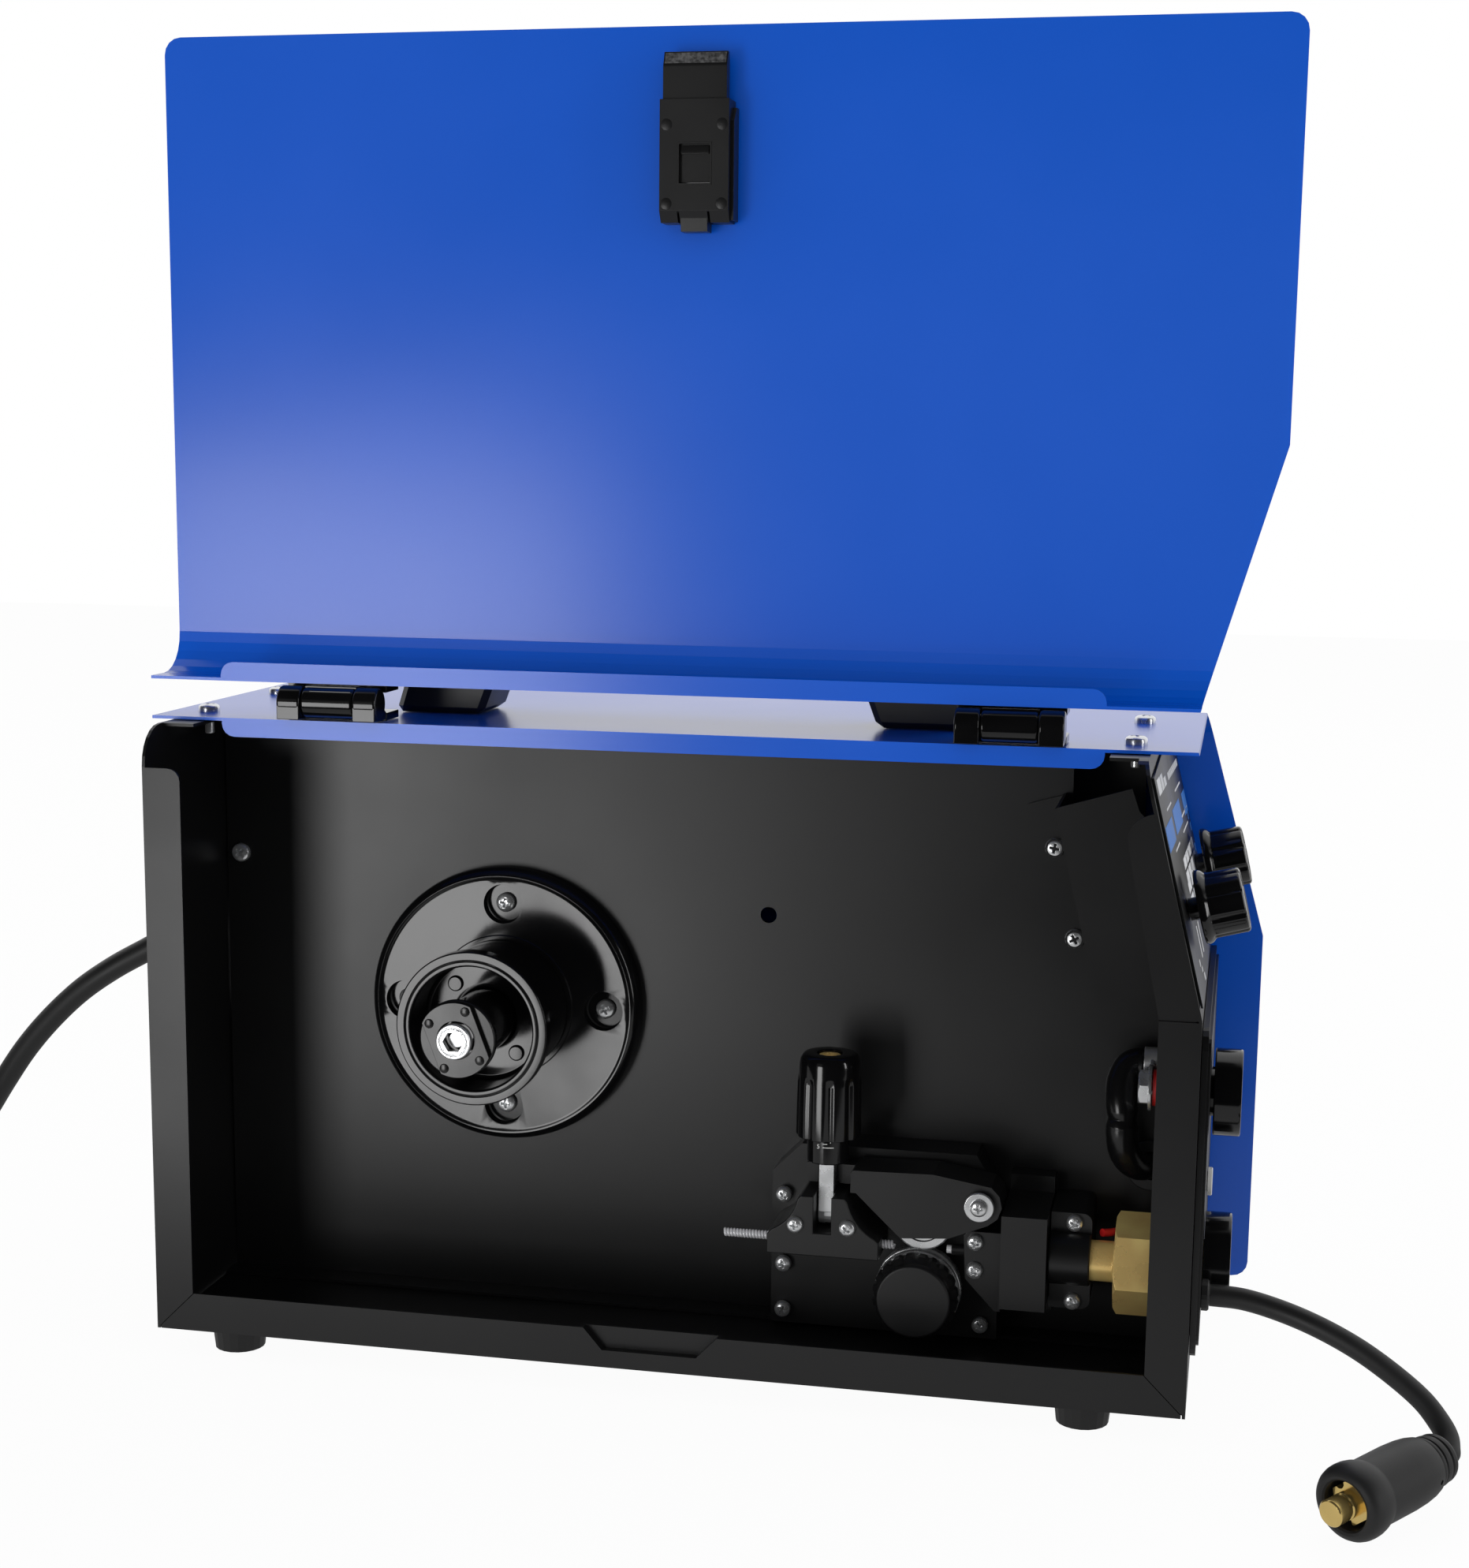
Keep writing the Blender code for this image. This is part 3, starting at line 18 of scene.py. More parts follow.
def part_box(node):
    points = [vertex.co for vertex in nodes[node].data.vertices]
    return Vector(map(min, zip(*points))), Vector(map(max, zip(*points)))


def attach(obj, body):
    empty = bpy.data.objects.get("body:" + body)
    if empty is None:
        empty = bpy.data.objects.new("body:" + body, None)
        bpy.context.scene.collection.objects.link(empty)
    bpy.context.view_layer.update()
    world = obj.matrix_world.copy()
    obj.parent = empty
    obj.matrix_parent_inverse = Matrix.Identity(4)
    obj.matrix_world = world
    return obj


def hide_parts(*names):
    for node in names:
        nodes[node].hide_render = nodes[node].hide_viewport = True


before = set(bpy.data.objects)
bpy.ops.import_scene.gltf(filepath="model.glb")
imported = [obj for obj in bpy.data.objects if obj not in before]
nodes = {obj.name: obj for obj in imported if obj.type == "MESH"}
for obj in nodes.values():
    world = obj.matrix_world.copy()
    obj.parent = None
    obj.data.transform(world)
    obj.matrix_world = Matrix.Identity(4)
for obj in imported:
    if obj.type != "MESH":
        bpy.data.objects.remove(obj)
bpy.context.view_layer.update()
MM = 0.001
CORNER = Vector((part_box("rear_panel")[0][0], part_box("base_tray")[0][1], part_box("base_tray")[0][2]))
FLOOR_Z = -CORNER.z / MM
print("case corner", [round(c, 4) for c in CORNER], "floor at", round(FLOOR_Z, 2), "mm")


def at(x, y, z):
    """Point in the frame, in metres, from millimetres off the case's corner."""
    return CORNER + Vector((x, y, z)) * MM


def placed(name, data):
    """New object of some data, put in the scene."""
    thing = bpy.data.objects.new(name, data)
    bpy.context.collection.objects.link(thing)
    return thing


# %% [markdown]
# ## Camera
#
# The machine is seen from in front of its open side, a little above and from the right. The camera's
# direction is given by three plain turns: left or right, down, and a slight roll.

# %% Camera
YAW, PITCH, ROLL = radians(-11.752), radians(-9.5014), radians(0.6667)
ahead = Vector((sin(YAW) * cos(PITCH), cos(YAW) * cos(PITCH), sin(PITCH)))
level = Vector((cos(YAW), -sin(YAW), 0))
upright = level.cross(ahead)
right = cos(ROLL) * level + sin(ROLL) * upright
up = cos(ROLL) * upright - sin(ROLL) * level
eye = at(410.5, -860.5, 346.7)
camera = placed("camera", bpy.data.cameras.new("camera"))
turn = Matrix((right, up, -ahead)).transposed().to_4x4()
camera.matrix_world = Matrix.Translation(eye) @ turn
camera.data.lens = 56.38
camera.data.sensor_width = 36.0
camera.data.shift_x = -0.0013
camera.data.shift_y = 0.0457
camera.data.clip_start = 0.01
bpy.context.scene.camera = camera
print("camera at", [round(c, 3) for c in eye])

# %% [markdown]
# ## Cords
#
# Two cords leave the case. A short thick polarity lead comes out of the front and lies on the floor with
# its plug. The mains lead comes out of the rear, falls to the floor, and the rest of it is wound in a
# neat coil with the plug on top. A cord is one smooth line through listed points, so each route is
# a Bezier spline whose handles follow from its neighbours, and the round skin is the curve's own bevel.


# %% A cord from a list of points
def cord_curve(name, points, radius, tail=None):
    """Bezier curve through points in millimetres; a tail is a straight last step."""
    route = [at(*p) for p in points]
    handles = []
    for i, knot in enumerate(route):
        before = route[i - 1] if i else 2 * knot - route[1]
        after = route[i + 1] if i + 1 < len(route) else 2 * knot - route[-2]
        handles.append((after - before) / 6)
    if tail:
        route.append(at(*tail))
        handles.append((route[-1] - route[-2]) / 3)
    curve = bpy.data.curves.new(name, "CURVE")
    curve.dimensions = "3D"
    curve.bevel_depth = radius * MM
    curve.bevel_resolution = 8
    curve.resolution_u = 8
    curve.use_fill_caps = True
    spline = curve.splines.new("BEZIER")
    spline.bezier_points.add(len(route) - 1)
    for knot, place, handle in zip(spline.bezier_points, route, handles):
        knot.co = place
        knot.handle_left = place - handle
        knot.handle_right = place + handle
    return placed(name, curve)


def cord_length(cord):
    """Length of a cord's centre line in metres."""
    return sum(s.calc_length() for s in cord.data.splines)


# %% Where the polarity lead and its plug lie
FASCIA_OUT = 403.5
LEAD_Y, LEAD_Z, LEAD_R = 18.0, 41.5, 4.0
LEAD_START = (FASCIA_OUT + 3.3, LEAD_Y, LEAD_Z)
PLUG_TAIL = Vector((487.0, -28.2, 6.4))
PLUG_NOSE = Vector((455.6, -66.4, 2.6))
PLUG_WAY = (PLUG_NOSE - PLUG_TAIL).normalized()
LEAD_ROUTE = [
    LEAD_START, (419, 17.6, 41.0), (432.5, 15.6, 38.4), (446, 11.6, 34.8), (459.5, 5.8, 30.0),
    (471.6, -1.6, 24.4), (481.4, -9.2, 18.8), (487.2, -15.0, 13.4), (489.8, -19.6, 9.8),
    tuple(PLUG_TAIL - 5 * PLUG_WAY)]
polarity_cord = cord_curve("polarity_cord", LEAD_ROUTE, LEAD_R, tail=PLUG_TAIL)
print("polarity lead", round(cord_length(polarity_cord), 4), "m")

# %% Where the mains lead falls and how it is wound
MAINS_Y, MAINS_Z, MAINS_R = 120.0, 137.5, 5.2
GLAND_END = -24.0
COIL_X, COIL_Y, COIL_MID = -205.0, 51.0, 61.0
LIE = FLOOR_Z + MAINS_R + 0.15
MAINS_START = (GLAND_END - 0.3, MAINS_Y, MAINS_Z)
MAINS_ROUTE = [
    MAINS_START, (-34, 120, 136.4), (-45, 120, 132.0), (-57, 120, 125.4), (-73, 120, 116.4),
    (-89, 120, 105.3), (-104, 120.2, 91.6), (-117, 120.6, 77.0), (-128.4, 121.2, 61.2), (-139, 122.0, 45.4),
    (-150.4, 123.2, 30.0), (-163.6, 125.0, 15.8), (-179, 126.8, 4.0), (-194.6, 128.2, -3.6),
    (-207.4, 128.4, LIE), (-219.6, 127.0, LIE), (-231.2, 123.8, LIE), (-242.0, 119.0, LIE)]


def ease(t):
    """Smooth step from 0 to 1."""
    t = min(max(t, 0.0), 1.0)
    return t * t * (3 - 2 * t)


def coil_points():
    """Turns of the coil: two side by side in each layer, then up to the plug on top."""
    start = degrees(atan2(119.0 - COIL_Y, -242.0 - COIL_X))
    points = []
    for step in range(1, 63):
        turns = step / 14.0
        inward = ease((turns - 0.75) / 0.5) - ease((turns - 1.75) / 0.5) + ease((turns - 2.75) / 0.5)
        inward -= ease((turns - 3.6) / 0.5)
        radius = COIL_MID + MAINS_R + 10.7 * (1 - ease(turns / 0.17)) - 2 * MAINS_R * min(max(inward, 0), 1)
        layer = ease((turns - 1.7) / 0.5) + ease((turns - 3.55) / 0.5)
        rise = ease((turns - 4.0) / 0.42)
        radius -= 5.2 * rise
        angle = radians(start + 360 * turns)
        points.append(
            (COIL_X + radius * cos(angle), COIL_Y + radius * sin(angle),
             LIE + 2 * MAINS_R * layer + 18.4 * rise))
    return points


winding = coil_points()
print("coil ends at", [round(c, 1) for c in winding[-1]])

# %% The mains lead as one curve
def thinned(points, step):
    """Points of a dense line at least a step apart, so that the spline stays even."""
    kept = [points[0]]
    for point in points[1:]:
        if dist(point, kept[-1]) >= step:
            kept.append(point)
    return kept


mains_cord = cord_curve("mains_cord", MAINS_ROUTE + thinned(winding, 20.0), MAINS_R)
print("mains lead", round(cord_length(mains_cord), 4), "m")

# %% [markdown]
# ## Floor, lamps and world
#
# The machine stands on a white sheet in a white room. The floor is ordinary white paint, so that it
# takes the soft shadow, mixed with a glow that only the camera and mirror-like surfaces see. Mirrors
# see half of it, as a satin black coat shows a white floor grey. The world is white where it is looked
# at, white behind the machine in reflections, and dim in front of it, where the dark studio is.
#
# Five lamps light the machine. Two wide ones in front and behind give the general light and are kept
# out of reflections. A tall strip at the left front is mirrored in the door and the wall, a faint wide
# one lifts the dark around it, and a narrow one at the right draws lines on the edges.


# %% Shader helpers
def shader(name):
    """New node material, with its tree and its Principled shader."""
    material = bpy.data.materials.new(name)
    material.use_nodes = True
    tree = material.node_tree
    return material, tree, tree.nodes["Principled BSDF"]


def add(tree, kind, links=(), **values):
    """Node of a kind with values set by name and its inputs linked by (input, output socket) pairs."""
    node = tree.nodes.new(kind)
    for key, value in values.items():
        if hasattr(node, key):
            setattr(node, key, value)
        else:
            node.inputs[key.replace("_", " ")].default_value = value
    for slot_name, source in links:
        tree.links.new(source, node.inputs[slot_name])
    return node


def seen_directly(tree):
    """1 for rays from the camera, from a mirror-like surface or through glass, else 0."""
    path = add(tree, "ShaderNodeLightPath")
    shiny = add(
        tree, "ShaderNodeMath", [(0, path.outputs["Is Camera Ray"]), (1, path.outputs["Is Glossy Ray"])],
        operation="MAXIMUM")
    return add(
        tree, "ShaderNodeMath", [(0, shiny.outputs[0]), (1, path.outputs["Is Transmission Ray"])],
        operation="MAXIMUM").outputs[0]


# %% Floor
bpy.ops.mesh.primitive_plane_add(size=1.0)
floor = bpy.context.object
FLOOR_FRONT, FLOOR_BACK, FLOOR_HALF = -0.36, 4.0, 4.0
floor.scale = (2 * FLOOR_HALF, FLOOR_BACK - FLOOR_FRONT, 1)
floor.location = (0, (FLOOR_BACK + FLOOR_FRONT) / 2, -0.0003)
floor.name = "floor_sheet"
paper, tree, body = shader("white_sheet")
body.inputs["Base Color"].default_value = (0.9, 0.9, 0.9, 1)
body.inputs["Roughness"].default_value = 0.9
fibre = add(tree, "ShaderNodeTexNoise", Scale=900.0)
tree.links.new(
    add(tree, "ShaderNodeBump", [("Height", fibre.outputs[0])], Strength=0.05, Distance=0.0002).outputs[0],
    body.inputs["Normal"])
facing = add(tree, "ShaderNodeLightPath")
strength = add(
    tree, "ShaderNodeMapRange", [("Value", facing.outputs["Is Camera Ray"])], To_Min=0.5, To_Max=1.0)
glow = add(tree, "ShaderNodeEmission", [("Strength", strength.outputs[0])])
share = add(tree, "ShaderNodeMath", [(0, seen_directly(tree))], operation="MULTIPLY")
share.inputs[1].default_value = 0.96
mixed = add(
    tree, "ShaderNodeMixShader", [(0, share.outputs[0]), (1, body.outputs[0]), (2, glow.outputs[0])])
tree.links.new(mixed.outputs[0], tree.nodes["Material Output"].inputs["Surface"])
floor.data.materials.append(paper)
print("floor sheet", 2 * FLOOR_HALF, "m wide and", FLOOR_BACK - FLOOR_FRONT, "m deep")

# %% World
world = bpy.data.worlds.new("white_room")
bpy.context.scene.world = world
world.use_nodes = True
tree = world.node_tree
tree.nodes.clear()
path = add(tree, "ShaderNodeLightPath")
toward = add(tree, "ShaderNodeSeparateXYZ", [(0, add(tree, "ShaderNodeTexCoord").outputs["Generated"])])
behind = add(
    tree, "ShaderNodeMapRange", [("Value", toward.outputs["Y"])], interpolation_type="SMOOTHSTEP",
    From_Min=-0.15, From_Max=0.35, To_Min=0.0, To_Max=1.0)
shiny = add(
    tree, "ShaderNodeMath", [(0, path.outputs["Is Glossy Ray"]), (1, path.outputs["Is Transmission Ray"])],
    operation="MAXIMUM")
plain = add(tree, "ShaderNodeMix", [(0, shiny.outputs[0]), (3, behind.outputs[0])])
plain.inputs[2].default_value = 0.60
level_out = add(tree, "ShaderNodeMix", [(0, path.outputs["Is Camera Ray"]), (2, plain.outputs[0])])
level_out.inputs[3].default_value = 1.0
light = add(tree, "ShaderNodeBackground", [("Strength", level_out.outputs[0])], Color=(1, 1, 1, 1))
add(tree, "ShaderNodeOutputWorld", [("Surface", light.outputs[0])])
print("world", world.name, "with", len(tree.nodes), "nodes")

# %% Lamps
def lamp(name, place, target, size, power, mirrored=False):
    """Large soft lamp that looks from one point to another; only a mirrored one shows in reflections."""
    data = bpy.data.lights.new(name, "AREA")
    data.shape = "RECTANGLE"
    data.size, data.size_y = size
    data.energy = power
    made = placed(name, data)
    made.location = place
    made.rotation_euler = (Vector(target) - Vector(place)).to_track_quat("-Z", "Y").to_euler()
    made.visible_camera = False
    made.visible_glossy = mirrored
    print(name, power, "W")


MIDDLE = (0, 0, 0.2)
lamp("strip_lamp", at(-520, -1500, -75), at(200, 50, 160), (0.50, 0.81), 7.7, mirrored=True)
lamp("veil_lamp", at(-640, -1500, 320), at(200, 50, 160), (0.70, 1.15), 0.4, mirrored=True)
lamp("front_lamp", (0.2, -2.2, 0.3), MIDDLE, (1.4, 0.8), 5.4)
lamp("edge_lamp", (1.7, -0.6, 0.45), MIDDLE, (0.2, 0.9), 3.5, mirrored=True)
lamp("back_lamp", (0.3, 1.6, 1.9), MIDDLE, (1.4, 1.4), 14)
bpy.context.scene.view_settings.view_transform = "Standard"

# %% [markdown]
# ## Finishes
#
# Each finish is one Principled shader with its own detail. Powder coat is a fused plastic skin: it
# flows out glossy with a faint orange peel, or is made satin by a fine grit. Moulded plastic copies
# the spark-eroded grain of its mould. Plated screws are bright with fine scratches. In every finish a
# noise in object coordinates, which are metres here, moves the colour a little, the roughness more,
# and gives a bump at the size of the real grain.


# %% One finish with three layers of detail
def finish(name, colour, rough, metal=0.0, grain=(900.0, 0.00003, 0.3), patch=(14.0, 0.12), spread=0.08):
    """Material: grain is (scale, height in metres, strength), patch is (scale, share of colour)."""
    material, tree, body = shader(name)
    body.inputs["Metallic"].default_value = metal
    place = add(tree, "ShaderNodeTexCoord").outputs["Object"]
    cloud = add(tree, "ShaderNodeTexNoise", [("Vector", place)], Scale=patch[0], Detail=4.0)
    tint = add(tree, "ShaderNodeValToRGB", [("Fac", cloud.outputs[0])])
    dark, pale = tint.color_ramp.elements
    dark.position, pale.position = 0.35, 0.65
    dark.color = (*[c * (1 - patch[1]) for c in colour], 1)
    pale.color = (*[min(1.0, c * (1 + patch[1]) + 0.0005) for c in colour], 1)
    tree.links.new(tint.outputs[0], body.inputs["Base Color"])
    fine = add(tree, "ShaderNodeTexNoise", [("Vector", place)], Scale=grain[0], Detail=3.0)
    gloss = add(
        tree, "ShaderNodeMapRange", [("Value", cloud.outputs[0])], From_Min=0.3, From_Max=0.7,
        To_Min=max(rough - spread, 0.02), To_Max=rough + spread)
    tree.links.new(gloss.outputs[0], body.inputs["Roughness"])
    bump = add(tree, "ShaderNodeBump", [("Height", fine.outputs[0])], Distance=grain[1], Strength=grain[2])
    tree.links.new(bump.outputs[0], body.inputs["Normal"])
    return material


# %% The finishes: colour, roughness, metal, grain, patch, spread
LOOKS = {
    "blue_powder_coat": ((0.0006, 0.086, 0.56), 0.21, 0, (420, 0.00006, 0.10), (6, 0.03), 0.02),
    "black_powder_coat": ((0.0040, 0.0040, 0.0043), 0.36, 0, (2600, 0.00004, 0.30), (9, 0.10), 0.04),
    "gloss_black_plastic": ((0.0030, 0.0030, 0.0033), 0.13, 0, (1100, 0.00002, 0.12), (30, 0.15), 0.04),
    "matt_black_plastic": ((0.0060, 0.0060, 0.0063), 0.38, 0, (2200, 0.00005, 0.35), (22, 0.12), 0.06),
    "satin_black_plastic": ((0.0040, 0.0040, 0.0042), 0.24, 0, (1400, 0.00003, 0.20), (40, 0.12), 0.05),
    "polished_brass": ((0.90, 0.66, 0.24), 0.16, 0.9, (900, 0.00002, 0.2), (120, 0.05), 0.04),
    "white_zinc": ((0.78, 0.78, 0.80), 0.30, 0.35, (900, 0.00002, 0.2), (120, 0.08), 0.05),
    "worn_plastic": ((0.060, 0.060, 0.062), 0.55, 0, (2600, 0.00010, 0.8), (700, 0.6), 0.10),
    "black_rubber": ((0.0095, 0.0095, 0.0098), 0.50, 0, (1500, 0.00004, 0.30), (24, 0.18), 0.08),
    "brass": ((1.0, 0.70, 0.26), 0.34, 0.6, (800, 0.00003, 0.25), (60, 0.12), 0.08),
    "bright_zinc": ((0.80, 0.81, 0.82), 0.28, 0.9, (1600, 0.00003, 0.25), (90, 0.12), 0.08),
    "bare_aluminium": ((0.62, 0.62, 0.63), 0.36, 1, (1300, 0.00003, 0.3), (70, 0.12), 0.08),
    "red_fibre": ((0.50, 0.012, 0.012), 0.45, 0, (1400, 0.00003, 0.3)),
    "white_plastic": ((0.74, 0.74, 0.72), 0.38, 0, (1200, 0.00002, 0.2)),
}
FINISHES = {name: finish(name, *look) for name, look in LOOKS.items()}
print(len(FINISHES), "finishes")

# %% [markdown]
# ## Finish of the solids
#
# Each solid that keeps its own shape takes the finish that the record names for it.

# %% Dress the solids
for name, node in nodes.items():
    made_of = node.material_slots[0].material.name.split(".")[0]
    for place in node.material_slots:
        place.material = FINISHES[made_of]
print(len(nodes), "solids dressed")

# %% [markdown]
# ## Tools for the finer pieces
#
# The next shapes are all made in three ways. A round piece is a profile spun about a line, as on a
# lathe. A cut plate is an outline pushed straight through, as in a press. Holes and recesses are cut
# out by an exact boolean. Points stay in the machine's millimetres, and are only turned into metres
# when the piece is done. A thin bevel then rounds its edges, with its normals held to the flat faces.


# %% Spin a profile
def skinned(bm, rings):
    """Shape closed by faces between rings of corners, where a ring may be a single point."""
    for low, high in zip(rings, rings[1:]):
        for k in range(max(len(low), len(high))):
            corners = [
                low[k % len(low)], low[(k + 1) % len(low)], high[(k + 1) % len(high)], high[k % len(high)]]
            bm.faces.new(list(dict.fromkeys(corners)))
    bmesh.ops.recalc_face_normals(bm, faces=bm.faces)
    return bm


def spun(profile, place, direction, steps=72):
    """Round shape from (radius, along) corners, spun about the line that leaves a place in a direction."""
    bm = bmesh.new()
    turn = Vector((0, 0, 1)).rotation_difference(Vector(direction)).to_matrix()
    rings = []
    for radius, along in profile:
        ring = [(radius * cos(tau * k / steps), radius * sin(tau * k / steps), along)
                for k in range(steps if radius else 1)]
        rings.append([bm.verts.new(Vector(place) + turn @ Vector(corner)) for corner in ring])
    if profile[0][0]:
        rings.append(rings[0])
    return skinned(bm, rings)


def rod(radius, low, high, place, direction, steps=72):
    """Plain round bar from one distance to another along a line that leaves a place in a direction."""
    return spun([(0, low), (radius, low), (radius, high), (0, high)], place, direction, steps)


def tube(inner, outer, low, high, place, direction, steps=72):
    """The same with a hole through it."""
    return spun([(inner, low), (outer, low), (outer, high), (inner, high)], place, direction, steps)


# %% Press an outline
def slab(bottom, top):
    """Shape between two outlines with the same number of corners."""
    bm = bmesh.new()
    rings = [[bm.verts.new(corner) for corner in outline] for outline in (bottom, top)]
    for ring in rings:
        bm.faces.new(ring)
    return skinned(bm, rings)


def pressed(outline, axis, low, high):
    """Plate of an outline in the two other directions, in order, pushed from low to high along an axis."""
    place = "xyz".index(axis)
    return slab(*[[(*pair[:place], along, *pair[place:]) for pair in outline] for along in (low, high)])


def block(x, y, z):
    """Square-cornered block between three pairs of limits."""
    return pressed([(x[0], y[0]), (x[1], y[0]), (x[1], y[1]), (x[0], y[1])], "z", *z)


# %% Round corners of an outline
def soft_corners(points, steps=8):
    """Outline whose corners with a third number are rounded to that radius."""
    outline = []
    for k, corner in enumerate(points):
        here = Vector(corner[:2])
        if len(corner) < 3:
            outline.append(tuple(here))
            continue
        to_last = (Vector(points[k - 1][:2]) - here).normalized()
        to_next = (Vector(points[(k + 1) % len(points)][:2]) - here).normalized()
        half = to_last.angle(to_next) / 2
        middle = here + (to_last + to_next).normalized() * corner[2] / sin(half)
        first = here + to_last * corner[2] / tan(half) - middle
        last = here + to_next * corner[2] / tan(half) - middle
        sweep = first.angle_signed(last)
        outline += [
            tuple(middle + Matrix.Rotation(-sweep * s / steps, 2) @ first) for s in range(steps + 1)]
    return outline


# %% Join, carve and copy
def joined(*shapes):
    """Several shapes as one, without welding them."""
    whole = bmesh.new()
    for shape in shapes:
        part = bpy.data.meshes.new("part")
        shape.to_mesh(part)
        shape.free()
        whole.from_mesh(part)
        bpy.data.meshes.remove(part)
    return whole


def carved(shape, *cutters, way="DIFFERENCE", loose=False):
    """Shape with others cut out of it; loose says that the shape is several overlapping ones."""
    pair = []
    for bm in (shape, joined(*cutters)):
        part = bpy.data.meshes.new("part")
        bm.to_mesh(part)
        bm.free()
        pair.append(placed("part", part))
    cut = pair[0].modifiers.new("cut", "BOOLEAN")
    cut.object, cut.operation, cut.solver = pair[1], way, "EXACT"
    cut.use_self = loose or len(cutters) > 1
    result = bmesh.new()
    result.from_object(pair[0], bpy.context.evaluated_depsgraph_get())
    for part in pair:
        bpy.data.meshes.remove(part.data)
    return result


def copied(shape, place, direction=(0, 0, 1), size=1.0, twist=0.0):
    """Copy of a shape built at the origin along Z, scaled, twisted and set in place."""
    copy = shape.copy()
    turn = Vector((0, 0, 1)).rotation_difference(Vector(direction)).to_matrix().to_4x4()
    move = Matrix.Translation(place) @ turn @ Matrix.Rotation(twist, 4, "Z") @ Matrix.Scale(size, 4)
    bmesh.ops.transform(copy, matrix=move, verts=copy.verts)
    return copy


# %% Dress a piece and soften its edges
def settle(thing, finish_name, body, stands_for=()):
    """Finish, body and replaced solids of a new piece."""
    thing.data.materials.append(FINISHES[finish_name])
    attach(thing, body)
    if stands_for:
        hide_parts(*stands_for)
    print(f"{thing.name}: {finish_name}, moves with {body}")
    return thing


def piece(name, shape, finish_name, body, stands_for=(), edge=0.25, angle=32):
    """Mesh piece from a shape in millimetres, with thin round edges."""
    for vert in shape.verts:
        vert.co = at(*vert.co)
    mesh = bpy.data.meshes.new(name)
    shape.to_mesh(mesh)
    shape.free()
    mesh.shade_smooth()
    made = placed(name, mesh)
    if not edge:
        mesh.set_sharp_from_angle(angle=radians(angle))
    soften(made, edge, angle)
    return settle(made, finish_name, body, stands_for)


def soften(thing, width, angle=32):
    """Thin bevel on the edges of a piece or solid that are sharper than an angle."""
    if width:
        bevel = thing.modifiers.new("soft_edges", "BEVEL")
        bevel.width = width * MM
        bevel.segments = 2
        bevel.limit_method = "ANGLE"
        bevel.angle_limit = radians(angle)
    flats = thing.modifiers.new("flat_faces", "WEIGHTED_NORMAL")
    flats.keep_sharp = True


# %% [markdown]
# ## Screws
#
# Every screw here is a zinc-plated pan head with a cross recess. One is made at the origin: a low dome
# spun from its profile, with two crossed wedges cut out of it. It is then copied to each place, twisted
# a different way each time, because nobody lines screws up. Each copy is scaled to its screw.

# %% One pan head
HEAD_R = 4.0
dome = spun(
    [(0, -1.2), (3.1, -1.2), (HEAD_R, -0.4), (HEAD_R, 1.3), (3.7, 2.1), (2.9, 2.65), (1.5, 2.95), (0, 3.0)],
    (0, 0, 0), (0, 0, 1), 40)
wedges = []
for spin in (0, pi / 2):
    wedge = pressed([(-2.5, 3.6), (2.5, 3.6), (1.0, 0.9), (-1.0, 0.9)], "y", -0.52, 0.52)
    bmesh.ops.rotate(wedge, matrix=Matrix.Rotation(spin, 3, "Z"), verts=wedge.verts)
    wedges.append(wedge)
PAN_HEAD = carved(dome, *wedges)

# %% Directions and places that come back
OUTWARD, INWARD, FORWARD = (0, -1, 0), (0, 1, 0), (1, 0, 0)
HUB_X, HUB_Z, HUB_R = 122.5, 122.8, 41.5


def around(radius, angle):
    """(x, z) at a radius and angle about the hub."""
    return HUB_X + radius * cos(angle), HUB_Z + radius * sin(angle)


HUB_SCREWS = [around(HUB_R, a) for a in (0, pi / 2, pi, -pi / 2)]
SLOPE = Vector((377.3 - 400, 0, 238.4 - 147.5)).normalized()
SLOPE_OUT = Vector((SLOPE.z, 0, -SLOPE.x))


def on_slope(along, out):
    """(x, z) on the leaning part of the front: distance up it, and out from it."""
    place = Vector((400, 0, 147.5)) + SLOPE * along + SLOPE_OUT * out
    return place.x, place.z


# %% A copy of the head for each screw
screw_places = [((x, y, 239.9), (0, 0, 1), 1.06) for x in (6.8, 371.2) for y in (48.0, 120.0)]
screw_places += [((x, 70.9, z), OUTWARD, 0.97) for x, z in HUB_SCREWS]
screw_places += [
    ((x, 54.2, z), OUTWARD, 0.80) for x, z in ((241, 56.5), (241, 28.3), (241, 9.5), (319.2, 9.5))]
screw_places += [((x, 38.5, z), OUTWARD, 0.80) for x, z in ((318.2, 48.0), (318.2, 36.9))]
screw_places += [((x, 30.0, 52.4), OUTWARD, 0.78) for x in (249.8, 270.0)]
screw_places += [((355.2, 43.9, z), OUTWARD, 0.80) for z in (25.9, 56.9)]
for along in (25.3, 61.4):
    x, z = on_slope(along, -45.6)
    screw_places.append(((x, 72.6, z), OUTWARD, 0.93))
screw_places += [((8.1, 74.0, 179.0), OUTWARD, 0.95), ((320, 30.4, 64.2), OUTWARD, 0.84)]
heads = [copied(PAN_HEAD, place, way, size, twist=0.9 * k)
         for k, (place, way, size) in enumerate(screw_places)]
piece("zinc_screws", joined(*heads), "bright_zinc", "case", edge=0.08)
print(len(heads), "screws")

# %% [markdown]
# ## The spool hub
#
# A glossy black disc is screwed to the wall through four deep counterbores. A hollow sleeve turns on
# its spindle and carries the wire spool, and a quarter-turn catch in front, held by a socket-head
# bolt, keeps the spool on. All of them are lathe shapes.

